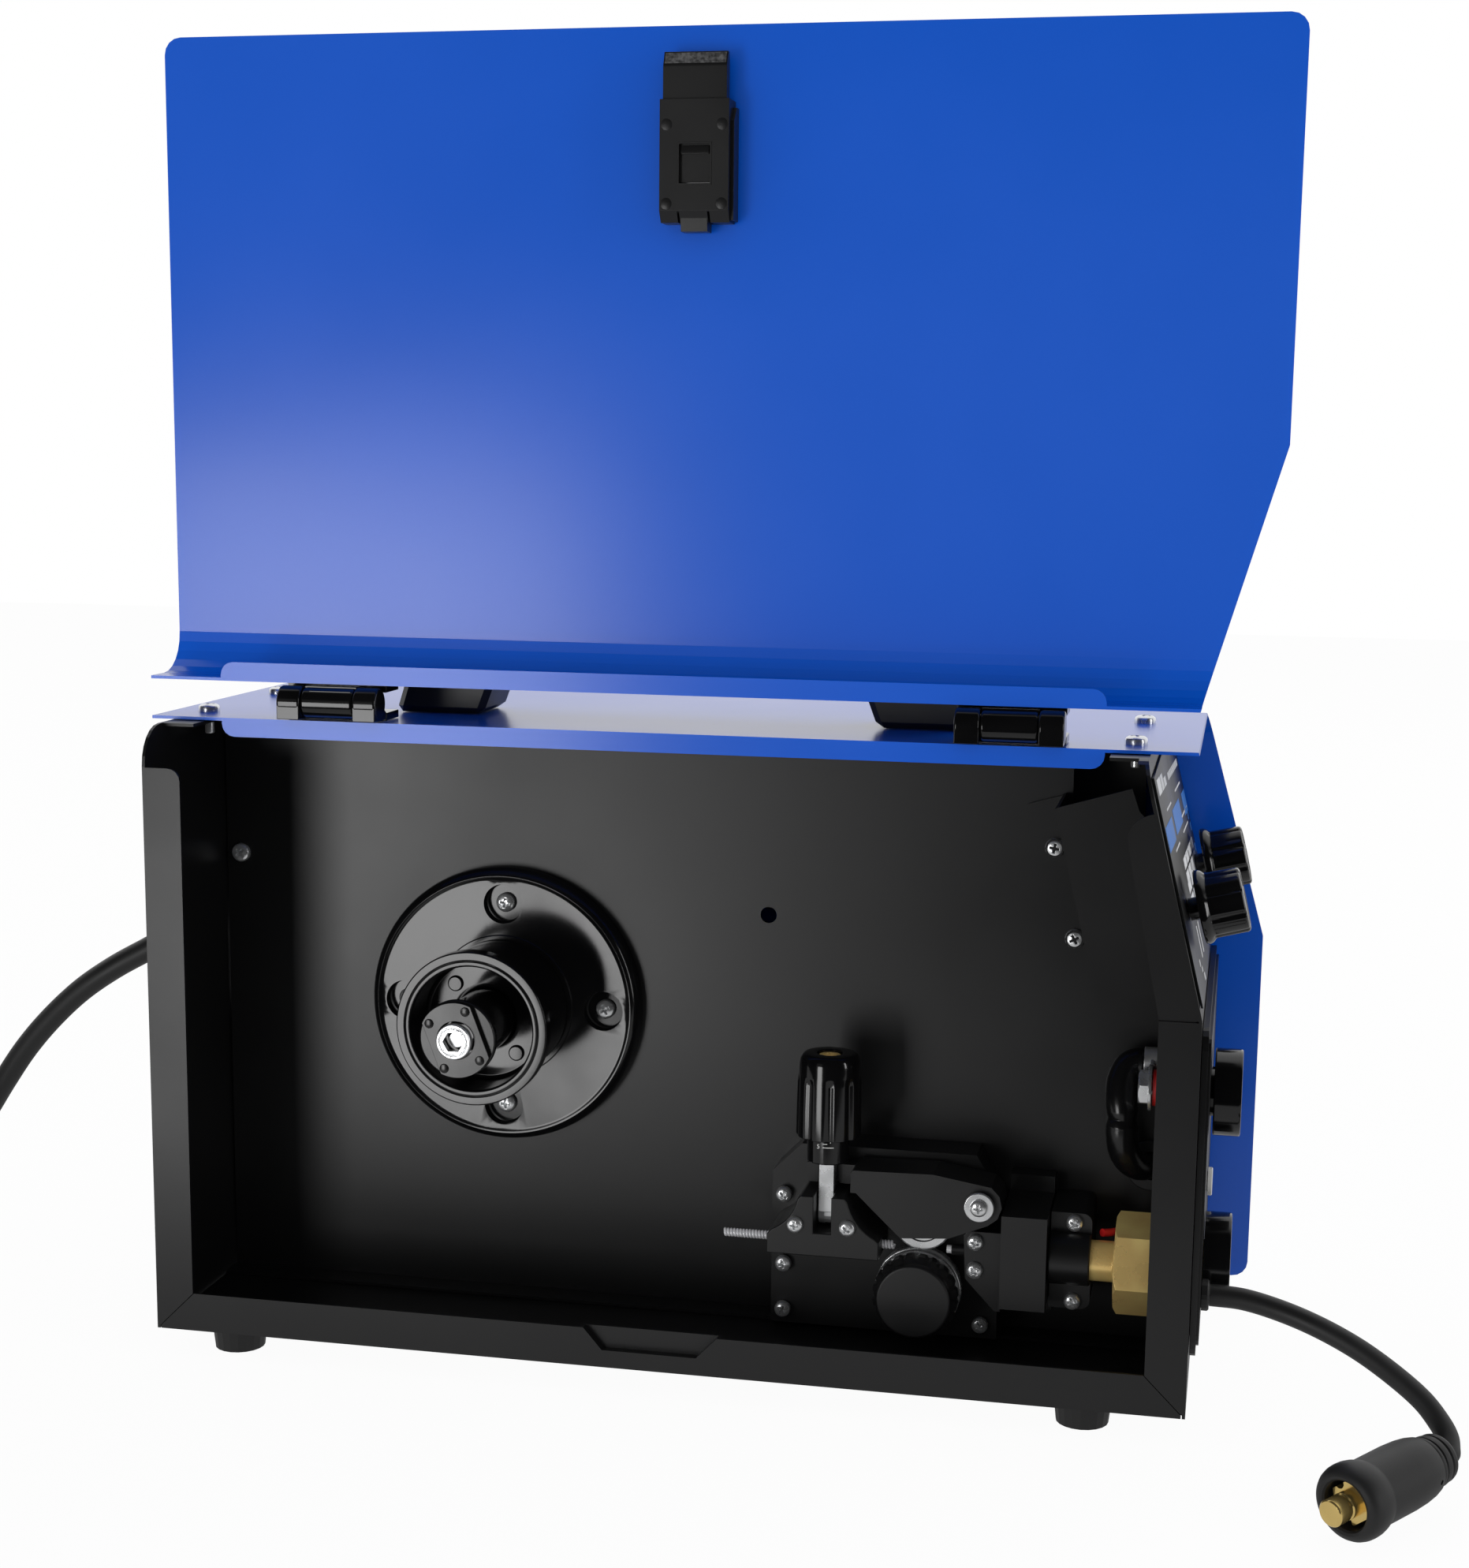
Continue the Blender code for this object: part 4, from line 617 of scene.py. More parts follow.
# %% Disc and spindle
WALL_FACE = 73.7
disc = spun(
    [(0, 0), (56, 0), (56, 3.9), (55.4, 6.2), (54.2, 7.7), (52.9, 8.4), (51.9, 8.3), (51.0, 7.8),
     (29.0, 7.8), (28.6, 8.4), (12, 8.6), (12, 63.5), (3.1, 63.5), (3.1, 60), (0, 60)],
    (HUB_X, WALL_FACE, HUB_Z), OUTWARD, 128)
bores = [spun([(0, 2.6), (7.4, 2.6), (8.0, 3.2), (8.0, 14), (0, 14)], (x, WALL_FACE, z), OUTWARD, 40)
         for x, z in HUB_SCREWS]
piece("hub_disc", carved(disc, *bores), "gloss_black_plastic", "case", ["spool_base"], edge=0.3)

# %% Bolt through the middle
BOLT_FOOT = (HUB_X, 13.5, HUB_Z)
bolt = spun(
    [(0, 0), (3.0, 0), (3.0, 9), (6.9, 9), (6.9, 11.2), (6.5, 11.7), (0, 11.7)], BOLT_FOOT, OUTWARD, 48)
bolt = carved(
    bolt, rod(4.1, 7.4, 14, BOLT_FOOT, OUTWARD, 6), tube(5.2, 5.6, 11.4, 14, BOLT_FOOT, OUTWARD, 48))
piece("hub_bolt", bolt, "bright_zinc", "case", edge=0.15)
clip = tube(9.2, 12.4, 11.4, 12.2, (HUB_X, 22.5, HUB_Z), OUTWARD, 64)
piece("hub_clip", clip, "bright_zinc", "case", edge=0.1)

# %% Sleeve that the spool turns with
sleeve = spun(
    [(12.5, 40.2), (14.2, 39.9), (23.2, 39.9), (24.2, 39.2), (24.4, 21.4), (24.8, 20.5), (25.2, 20.3),
     (26.4, 20.3), (26.6, 20.8), (27.0, 20.8), (27.2, 20.3), (30.0, 20.3), (30.4, 20.7), (30.4, 26.0),
     (27.4, 27.2), (27.1, 60.2), (12.5, 60.2)],
    (HUB_X, 3.3, HUB_Z), INWARD, 112)
pips = [spun([(0, 0), (3.2, 0), (3.1, 1.0), (2.7, 1.3), (0, 1.3)], (x, 43.4, z), OUTWARD, 32)
        for x, z in (around(18.2, radians(a)) for a in (133, -47))]
piece("hub_sleeve", joined(sleeve, *pips), "gloss_black_plastic", "spool_carrier", ["spool_sleeve"],
      edge=0.25)

# %% Quarter-turn catch
TILT = radians(111)
half = asin(10.3 / 14.6)
bar = [around(14.6, middle + half * k / 8) for middle in (TILT, TILT + pi) for k in range(-8, 9)]
ring = spun([(7.4, 0), (15, 0), (15, 2.4), (14.6, 2.8), (7.4, 2.8)], (HUB_X, 9.8, HUB_Z), OUTWARD, 72)
bridge = carved(pressed(bar, "y", 4.7, 7.2), rod(7.4, -9, 9, (HUB_X, 5, HUB_Z), OUTWARD, 48))
studs = [spun([(0, 0), (1.9, 0), (1.8, 0.35), (0, 0.45)], (x, 4.8, z), OUTWARD, 24)
         for x, z in (around(12.0, radians(a)) for a in (150, 71, 248, 323))]
piece("hub_catch", joined(ring, bridge, *studs), "satin_black_plastic", "catch", ["lock_plate"], edge=0.3)

# %% [markdown]
# ## The wire feeder
#
# A motor behind the wall turns the grooved roller. The arm above presses a second roller on the wire,
# and is held down by a spring under the fluted knob, whose link hinges on the front bracket. Steel
# parts are turned or wound, the rest is moulded black plastic.

# %% Bracket with bell-shaped sides
FEED_FACE, LEVER_X, WIRE_Y, WIRE_Z = 56.0, 260.2, 42.0, 43.3


def hollow_curve(start, end, sag, steps=8):
    """Points of a curve that sags inward between two points."""
    a, b = Vector(start), Vector(end)
    side = (b - a).orthogonal().normalized() * sag
    return [tuple(a.lerp(b, t) + side * 4 * t * (1 - t)) for t in (k / steps for k in range(steps + 1))]


bell = [(238.7, 40.2), (238.7, 47.6), *hollow_curve((240.4, 49.7), (250.6, 62.6), -2.0), (251.8, 63.9),
        (268.6, 63.9), *hollow_curve((269.8, 62.6), (280.6, 48.6), -2.0), (282.2, 47.2), (282.2, 40.2)]
bracket = carved(
    pressed(bell, "y", 30, FEED_FACE - 0.3), block((LEVER_X - 3.4, LEVER_X + 3.4), (29, 47), (49.4, 65)),
    rod(2.2, 0, 70, (225, WIRE_Y, WIRE_Z), FORWARD, 24))
pin = rod(1.8, 0, 10, (LEVER_X - 5, WIRE_Y, 54), FORWARD, 24)
piece("clamp_bracket_fine", joined(bracket, pin), "matt_black_plastic", "case", ["clamp_bracket"], edge=0.5)

# %% Wound liner
strand = bpy.data.curves.new("liner", "CURVE")
liner = placed("wire_liner", strand)
strand.dimensions = "3D"
strand.bevel_depth, strand.bevel_resolution = 0.56 * MM, 3
wound = strand.splines.new("POLY")
TURNS, PER_TURN = 54, 14
wound.points.add(TURNS * PER_TURN)
for k, knot in enumerate(wound.points):
    angle = tau * k / PER_TURN
    along = 219.6 + 1.24 * k / PER_TURN
    knot.co = (*at(along, WIRE_Y + 1.22 * cos(angle), WIRE_Z + 1.22 * sin(angle)), 1)
settle(liner, "white_zinc", "case", ["inlet_liner"])
guide = tube(0.7, 1.6, 0, 12, (307.0, WIRE_Y, WIRE_Z), FORWARD, 24)
piece("outlet_tip", guide, "white_zinc", "case", edge=0.1)

# %% Fluted knob: rings whose radius dips at each flute
def fluted_knob(place, rings, flutes, steps=12, sharp=1.6):
    """Knob from (radius, height, flute depth) rings along Z; a flute is a rounded dip between lands."""
    bm = bmesh.new()
    made = []
    for radius, height, depth in rings:
        count = flutes * steps if radius else 1
        ring = []
        for k in range(count):
            angle = tau * k / (flutes * steps)
            dip = max(0.0, cos(flutes * angle)) ** sharp
            r = radius - depth * dip
            ring.append(bm.verts.new(Vector(place) + Vector((r * cos(angle), r * sin(angle), height))))
        made.append(ring)
    return skinned(bm, made)


knob_rings = [
    (3.4, 1.0, 0), (8.9, 1.0, 0), (9.2, 0, 0), (12.2, 0, 1.1), (12.5, 0.4, 1.1), (12.4, 12, 1.1),
    (12.2, 21, 1.1), (12.1, 22.4, 0.8), (12.0, 23.6, 0.25), (11.95, 24.4, 0), (11.8, 28.6, 0),
    (11.3, 30.8, 0), (10.3, 32.0, 0), (9.2, 32.3, 0), (5.2, 32.3, 0), (4.9, 32.1, 0), (4.8, 30.6, 0),
    (0, 30.6, 0)]
knob = fluted_knob((LEVER_X, WIRE_Y, 85.5), knob_rings, 9)
piece("pressure_knob_fine", knob, "gloss_black_plastic", "pressure_knob", ["tension_knob"], edge=0,
      angle=40)
insert = spun(
    [(0, 0), (4.2, 0), (4.2, 1.0), (3.9, 1.2), (2.6, 1.2), (2.4, 0.4), (0, 0.4)], (LEVER_X, WIRE_Y, 115.9),
    (0, 0, 1), 32)
piece("pressure_knob_insert", insert, "brass", "pressure_knob", edge=0.08)

# %% Sleeve under the knob, with the scale's marks
spring_sleeve = carved(
    spun([(4.1, 0), (7.9, 0), (8.2, 0.4), (8.2, 19.6), (4.1, 19.6)], (LEVER_X, WIRE_Y, 75.4), (0, 0, 1),
         72),
    block((LEVER_X - 3.1, LEVER_X + 3.1), (WIRE_Y - 3.7, WIRE_Y + 3.7), (70, 76.8)))
piece("spring_sleeve", spring_sleeve, "gloss_black_plastic", "lever", ["tension_sleeve"], edge=0.2)
marks = []
for height, reach in ((82.2, 2.6), (83.6, 1.2), (85.0, 2.6)):
    angles = [radians(-96 + 6 * k) for k in range(int(2 * reach) + 1)]
    outer = [(LEVER_X + 8.26 * cos(a), WIRE_Y + 8.26 * sin(a)) for a in angles]
    inner = [(LEVER_X + 8.1 * cos(a), WIRE_Y + 8.1 * sin(a)) for a in reversed(angles)]
    marks.append(pressed(outer + inner, "z", height, height + 0.28))
piece("scale_marks", joined(*marks), "white_plastic", "lever", edge=0)


# %% The scale's two numerals
def numeral(name, text, place):
    """Plain numeral as a thin raised shape that faces out of the open side."""
    letters = bpy.data.curves.new(name, "FONT")
    letters.body, letters.size, letters.extrude = text, 2.4 * MM, 0.04 * MM
    letters.align_x = letters.align_y = "CENTER"
    made = placed(name, letters)
    made.matrix_world = Matrix.Translation(at(*place)) @ Matrix.Rotation(pi / 2, 4, "X")
    settle(made, "white_plastic", "lever")


numeral("scale_four", "4", (LEVER_X + 1.9, WIRE_Y - 8.1, 84.9))
numeral("scale_five", "5", (LEVER_X - 2.6, WIRE_Y - 7.9, 82.6))

# %% Cap on the drive roller
ROLLER, IDLER = (296.3, 26.4), (298, WIRE_Y, 55.3)
cap_rings = [
    (0, 0, 0), (16.1, 0, 0.8), (16.4, 0.4, 0.8), (16.4, 4.6, 0.8), (15.6, 5.6, 0.5), (14.5, 7.0, 0),
    (14.4, 7.4, 0), (14.3, 9.4, 0), (13.9, 9.9, 0), (13.3, 10.1, 0), (0, 10.1, 0)]
cap = fluted_knob((0, 0, 0), cap_rings, 20, 8, 1.0)
cap = copied(cap, (ROLLER[0], 36.3, ROLLER[1]), OUTWARD)
piece("roller_cap_fine", cap, "matt_black_plastic", "drive", ["roller_cap"], edge=0, angle=38)

# %% The two rollers
drive = spun(
    [(0, -5), (15.9, -5), (16.5, -4.4), (16.5, -2.4), (15.9, -2.2), (15.9, -1.0), (16.5, -0.8),
     (16.5, -0.7), (15.9, 0), (16.5, 0.7), (16.5, 4.4), (15.9, 5), (5, 5), (5, 31), (0, 31)],
    (ROLLER[0], WIRE_Y, ROLLER[1]), INWARD, 112)
piece("drive_roller_fine", drive, "bright_zinc", "drive", ["drive_roller"], edge=0.12)
idler = joined(
    spun([(8.3, -5), (11.0, -5), (11.6, -4.4), (11.6, 4.4), (11.0, 5), (8.3, 5)], IDLER, INWARD, 80),
    tube(5.4, 8.0, -4.6, 4.6, IDLER, INWARD, 56), tube(3.0, 5.1, -5, 5, IDLER, INWARD, 56))
piece("idler_bearing", idler, "bright_zinc", "idler", ["pressure_roller"], edge=0.12)

# %% Wire guide plate, pivot washer and the brass torch connection
plate = pressed(
    [(313.6, 50.2), (315.2, 52.2), (328.4, 52.2), (328.4, 20.8), (326.0, 20.8), (314.4, 33.0)], "y", 38.6,
    55.8)
piece("guide_plate", plate, "matt_black_plastic", "case", edge=0.3)
washer = spun([(0, 0), (5.7, 0), (5.7, 1.1), (5.4, 1.4), (0, 1.4)], (320, 31.4, 64.2), OUTWARD, 48)
piece("pivot_washer", washer, "bright_zinc", "case", edge=0.15)
thread = [(2.0, 24.4), (7.2, 24.4), (7.7, 24.9), (7.7, 48.2), (8.2, 48.7), (10.6, 49.0)]
thread += [(11.4 if k % 2 else 10.6, 49.4 + 0.5 * k) for k in range(84)] + [(10.8, 91.2), (2.0, 91.2)]
connector = spun(thread, (322.0, WIRE_Y, WIRE_Z), FORWARD, 64)
NUT_TURN, NUT_PLACE = 43.7, (371, WIRE_Y, WIRE_Z)
nut = carved(rod(19.4, 0, 19, NUT_PLACE, FORWARD, 6), rod(11.6, -1, 20, NUT_PLACE, FORWARD, 48))
bmesh.ops.rotate(nut, cent=NUT_PLACE, matrix=Matrix.Rotation(radians(NUT_TURN), 3, "X"), verts=nut.verts)
crown = spun([(0, 0), (17.3, 0), (19.5, 1.3), (19.5, 17.7), (17.3, 19), (0, 19)], NUT_PLACE, FORWARD, 72)
nut = carved(nut, crown, way="INTERSECT")
piece("torch_connector_fine", joined(connector, nut), "brass", "case", ["torch_connector"], edge=0.35,
      angle=24)
signal = cord_curve(
    "trigger_wire", [(365.5, 47.5, 52.6), (368.6, 50.5, 52.0), (372.2, 56.0, 51.6), (378.0, 62.5, 53.0)],
    1.5)
settle(signal, "red_fibre", "case")

# %% Saddle: a thin plate with a half-round over the tube
saddle_plate = pressed(
    soft_corners([(346.3, 22.8), (361.8, 22.8, 3.5), (361.8, 60.6, 3.5), (346.3, 60.6)]), "y", 44, 73.6)
half_round = spun(
    [(0, 0), (9.4, 0), (9.9, 0.5), (9.9, 15), (9.4, 15.5), (0, 15.5)], (346.3, WIRE_Y, WIRE_Z), FORWARD, 72)
saddle = carved(
    joined(saddle_plate, half_round), rod(7.9, 0, 40, (335, WIRE_Y, WIRE_Z), FORWARD, 48), loose=True)
piece("tube_saddle", saddle, "matt_black_plastic", "case", ["outlet_saddle"], edge=0.4)

# %% [markdown]
# ## Socket, bolt and inner cable
#
# Behind the power socket a hexagon bolt clamps a cable lug against red fibre washers. The cable is
# thick and covered in shrunk black sleeve, which wrinkles where the cable bends. Its radius therefore
# changes from point to point: a little bulge before the kink, and a small fold at it.

# %% Inner cable with its shrunk sleeve
INNER_R = 5.0
LUG_Y, LUG_Z = 62.6, 116.4
inner_route = [
    (377.6, LUG_Y, LUG_Z), (375.2, LUG_Y, LUG_Z), (372.0, 61.8, 114.2), (370.2, 59.6, 109.0),
    (370.2, 56.4, 102.6), (370.9, 55.2, 98.4), (371.2, 54.9, 95.8), (370.9, 54.8, 93.2),
    (371.0, 54.8, 88.6), (372.0, 56.6, 83.0), (374.6, 60.4, 77.6), (378.2, 65.8, 74.2), (381.0, 72.2, 73.2),
    (382.0, 80, 72.8), (382.0, 88, 72.8)]
inner = cord_curve("inner_cable_sleeve", inner_route, INNER_R)
swell = [1.05, 1.05, 1.12, 1.20, 1.22, 1.20, 1.02, 1.26, 1.20, 1.20, 1.14, 1.06, 1.0, 1.0, 1.0]
for knot, size in zip(inner.data.splines[0].bezier_points, swell):
    knot.radius = size
settle(inner, "satin_black_plastic", "case", ["inner_cable"])

# %% Bolt, lug and washers
SOCKET = (50, 110)
BOLT_HEAD = (376.8, *SOCKET)
hexagon = rod(7.2, 0, 4.0, BOLT_HEAD, FORWARD, 6)
bmesh.ops.rotate(hexagon, cent=BOLT_HEAD, matrix=Matrix.Rotation(radians(12), 3, "X"), verts=hexagon.verts)
head = carved(
    hexagon, spun([(0, -0.5), (5.6, -0.2), (7.3, 0.9), (7.3, 5), (0, 5)], BOLT_HEAD, FORWARD, 48),
    way="INTERSECT")
shank = rod(4.0, 0, 19, (381, *SOCKET), FORWARD, 32)
ring = tube(4.2, 8.8, 0, 1.3, (380.6, *SOCKET), FORWARD, 48)
lug = tube(4.6, 6.0, 0, 5, (378.2, LUG_Y, LUG_Z), FORWARD, 40)
strap = pressed([(47.0, 113.8), (53.0, 106.2), (65.4, 112.6), (59.6, 120.2)], "x", 380.7, 382.0)
piece("lug_bolt", joined(head, shank, ring, lug, strap), "bright_zinc", "case", ["socket_stud"], edge=0.3)
washers = [tube(4.4, 6.9, 0, 1.5, (x, *SOCKET), FORWARD, 40) for x in (382.2, 384.1)]
piece("red_washers", joined(*washers), "red_fibre", "case", ["stud_washers"], edge=0.2)
grommet = spun(
    [(5.6, -1.6), (9.6, -1.6), (10.2, -1.0), (9.2, -0.1), (8.9, 1.4), (5.6, 1.4)], (382.0, 73.8, 72.8),
    INWARD, 48)
piece("wall_grommet", grommet, "black_rubber", "case", edge=0.2)
ends = [spun([(0, -1), (1.9, -1), (1.9, 6.4), (1.6, 6.9), (0, 6.9)], (x, 48.0, 238.0), (0, 0, -1), 24)
        for x in (6.8, 371.2)]
piece("screw_ends", joined(*ends), "bright_zinc", "case", edge=0.1)

# %% [markdown]
# ## The front
#
# The socket and the torch inlet each have a round glossy collar. The control knobs have a skirt and a
# fluted grip, and sit square to the leaning face. The thin printed plate behind them is shown with
# plain blocks of colour and scale ticks only.

# %% Collars and sockets
collar = spun(
    [(5.0, -15.5), (9.2, -15.5), (9.2, 1.3), (15.9, 1.3), (16.4, 1.8), (16.4, 10.4), (16.0, 11.4),
     (15.3, 11.5), (9.4, 11.5), (8.6, 10.6), (8.6, 0.5), (5.0, 0.5)],
    (FASCIA_OUT, *SOCKET), FORWARD, 96)
keyway = block((404, 420), (48.4, 51.6), (118.2, 121.4))
piece("power_socket", carved(collar, keyway), "gloss_black_plastic", "case", ["cable_socket"], edge=0.2)
COLLAR_Z = 47.6
inlet = carved(
    spun([(0, 0.3), (17.6, 0.3), (17.6, 9.0), (17.2, 10.0), (16.4, 10.1), (0, 10.1)],
         (FASCIA_OUT, WIRE_Y, COLLAR_Z), FORWARD, 96),
    rod(12.0, -1, 12, (FASCIA_OUT, WIRE_Y, WIRE_Z), FORWARD, 72))
piece("torch_inlet_collar", inlet, "gloss_black_plastic", "case", ["torch_collar"], edge=0.2)
SIGNAL = (62, 71.5)
pin_holes = [
    rod(0.7, 0, 3, (404.2, SIGNAL[0] + 2.2 * cos(a), SIGNAL[1] + 2.2 * sin(a)), FORWARD, 16)
    for a in (0.5, 2.6, 4.7)]
signal_socket = carved(
    spun([(0, -11), (3.9, -11), (3.9, 0.4), (5.4, 0.4), (5.4, 1.8), (5.0, 2.1), (0, 2.1)],
         (FASCIA_OUT, *SIGNAL), FORWARD, 56),
    *pin_holes)
piece("signal_socket", signal_socket, "white_plastic", "case", ["trigger_socket"], edge=0.15)

# %% Control knobs
KNOB_UP = 34.0
grip_rings = [
    (0, -8, 0), (3.0, -8, 0), (3.0, 1.4, 0), (4.2, 1.4, 0), (4.2, 5.2, 0), (13.4, 5.2, 0), (13.8, 5.7, 0),
    (13.8, 6.8, 0), (13.2, 8.0, 0), (12.3, 8.8, 0.4), (12.1, 9.4, 0.8), (11.9, 20.6, 0.8),
    (11.6, 21.4, 0.6), (10.9, 21.8, 0.2), (10.4, 21.8, 0), (10.0, 21.5, 0), (0, 21.5, 0)]
foot_x, foot_z = on_slope(KNOB_UP, 0)
for place, y in (("near", 38.0), ("far", 140.0)):
    turned_knob = copied(
        fluted_knob((0, 0, 0), grip_rings, 8, 12, 6.0), (foot_x, y, foot_z), SLOPE_OUT, twist=0.3)
    piece(f"knob_{place}", turned_knob, "gloss_black_plastic", f"knob_{place}", [f"control_knob_{place}"],
          edge=0, angle=38)
    line = block((-0.35, 0.35), (4.0, 10.0), (21.5, 21.65))
    line = copied(line, (foot_x, y, foot_z), SLOPE_OUT, twist=0.3)
    piece(f"knob_{place}_line", line, "white_plastic", f"knob_{place}", edge=0)

# %% Printed plate on the leaning face
def printed(patches):
    """Thin raised patches on the leaning face, each from y to y and from a height up it to another."""
    shapes = []
    for y_low, y_high, up_low, up_high in patches:
        corners = [(y_low, up_low), (y_high, up_low), (y_high, up_high), (y_low, up_high)]
        rings = []
        for out in (1.0, 1.12):
            spots = [(y, *on_slope(along - DROP * (y - 5), out)) for y, along in corners]
            rings.append([(x, y, z) for y, x, z in spots])
        shapes.append(slab(*rings))
    return joined(*shapes)


DROP = 0.05
for name, colour in (("printed_blue", (0.03, 0.19, 0.62)), ("printed_white", (0.75, 0.76, 0.78))):
    FINISHES[name] = finish(name, colour, 0.5, grain=(1500.0, 0.00002, 0.2))
blue_patches = [(7, 53, 60.5, 69.5), (65, 118, 61, 70.5), (142, 168, 61, 70)]
blue_patches += [
    (157 + 5 * sin(a), 161 + 5 * sin(a), 44 + 14 * cos(a), 47.5 + 14 * cos(a)) for a in (0.2, 0.9, 1.6)]
lines = [(106, 149, 74.0), (36, 68, 73.0), (115, 165, 62.6), (106, 149, 57.4), (39, 70, 57.2),
         (87, 149, 50.2)]
white_patches = [(y_low, y_high, up, up + 0.8) for y_low, y_high, up in lines]
white_patches += [(14, 33, 80.6, 86.4), (36, 49, 80.6, 86.4), (52, 66, 80.6, 84.0)]
white_patches += [(82 + 8 * k, 87.5 + 8 * k, 80.8, 83.6) for k in range(10)]
white_patches += [(y, y + 17, low, low + 4.2) for low in (41.5, 47.0) for y in (69, 90, 112, 134)]
white_patches += [(y, y + 20, low, low + 4.0) for low in (32.6, 38.0) for y in (66, 92, 118)]
white_patches += [
    (60, 63, 14, 26), (74, 77, 14, 26), (37, 41, 14, 16.5), (43, 47, 11, 13), (49, 54, 7, 9.6)]
piece("plate_blue_print", printed(blue_patches), "printed_blue", "case", edge=0)
piece("plate_white_print", printed(white_patches), "printed_white", "case", edge=0)

# %% [markdown]
# ## Latch and hinges
#
# The latch is a moulded channel on the door. A square window in it shows the bolt, whose ramped tip
# slides out at the end. The hinges are moulded too, with two outer knuckles on the case and one long
# barrel on the door. The latch parts are built in their closed place and swung half a turn, as the door
# is; the door's hinge leaves are built straight in their open place.

# %% Swing half a turn about the hinge line
HINGE_Y, HINGE_Z = 27.1, 247.1


def swung(shape):
    """Shape built in the closed door's place, turned half a turn about the hinge line."""
    for vert in shape.verts:
        vert.co = (vert.co.x, 2 * HINGE_Y - vert.co.y, 2 * HINGE_Z - vert.co.z)
    return shape


# %% Latch housing
LATCH_X = 203.3


def latch_block(left, right, y, z):
    """Block between two distances from the latch's middle."""
    return block((LATCH_X + left, LATCH_X + right), y, z)


def latch_plate(outline, left, right):
    """Outline across the door's thickness, pushed between two distances from the latch's middle."""
    return pressed(outline, "x", LATCH_X + left, LATCH_X + right)


body = latch_plate([(0, 23.5), (11.6, 23.5), (11.6, 63.0), (8.8, 67.2), (0, 67.2)], -12.6, 13.4)
housing = carved(
    body, latch_block(-12.3, 12.3, (4.8, 10.4), (20, 63.5)), latch_block(-5.6, 5.6, (-1, 6), (36, 62)),
    latch_block(-5.2, 6.4, (10, 13), (39.4, 53.4)), latch_block(-6.0, -5.2, (3, 13), (63.4, 70)),
    latch_block(5.4, 6.2, (3, 13), (63.4, 70)))
tongue = latch_plate([(2.0, 64.5), (10.0, 64.5), (9.2, 70.4), (2.0, 70.4)], -4.9, 5.1)
rim = carved(
    latch_block(-5.8, 7.0, (11.4, 11.8), (38.8, 54.0)), latch_block(-5.2, 6.4, (11, 13), (39.4, 53.4)))
dots = [rod(2.1, 0, 0.18, (LATCH_X + x, 11.5, z), INWARD, 28) for x in (-10.0, 10.8) for z in (32.5, 60.6)]
catch_rail = latch_plate([(0.3, 26.0), (4.2, 26.0), (8.6, 31.0), (8.6, 66.4), (0.3, 66.4)], 13.2, 14.7)
piece("latch_channel", swung(joined(housing, tongue, rim, *dots, catch_rail)), "matt_black_plastic", "door",
      ["latch_housing"], edge=0.35)

# %% Bolt with its ramped tip
tip = latch_plate(
    [(5.2, 9.4), (5.2, 53), (10.0, 53), (10.0, 12.0), (9.8, 11.0), (7.8, 6.4), (5.9, 6.6)], -11.8, 12.1)
rib = latch_plate([(9.9, 39.9), (10.6, 39.9), (11.2, 42.1), (11.2, 42.9), (9.9, 42.9)], -4.6, 5.8)
seam = latch_plate([(9.7, 10.9), (7.9, 6.9), (7.7, 7.0), (9.5, 11.0)], -0.15, 0.15)
worn = latch_plate([(9.78, 10.7), (7.98, 6.8), (7.4, 7.1), (9.2, 11.0)], -11.3, 11.6)
piece("latch_worn_ramp", swung(worn), "worn_plastic", "latch", edge=0.05)
neck = latch_block(-4.2, 4.2, (-4, 6), (38, 48))
pad = pressed(
    soft_corners(
        [(LATCH_X - 9, 32, 3.0), (LATCH_X + 9, 32, 3.0), (LATCH_X + 9, 54, 3.0), (LATCH_X - 9, 54, 3.0)]),
    "y", -6.1, -2.2)
grips = [latch_block(-6.5, 6.5, (-6.5, -5.9), (z, z + 1.1)) for z in (37, 40, 43, 46, 49)]
piece("latch_slide_bolt", swung(joined(tip, rib, seam, neck, pad, *grips)), "matt_black_plastic", "latch",
      ["latch_bolt"], edge=0.35)

# %% Hinges
KNUCKLE_R, HINGE_W, COVER_TOP = 6.3, 40.0, 239.9


def knuckle(start, end, radius=KNUCKLE_R):
    """Round barrel along the hinge line with rounded ends."""
    long = end - start
    return spun(
        [(0, 0), (radius - 0.9, 0), (radius - 0.25, 0.3), (radius, 1.0), (radius, long - 1.0),
         (radius - 0.25, long - 0.3), (radius - 0.9, long), (0, long)],
        (start, HINGE_Y, HINGE_Z), FORWARD, 56)


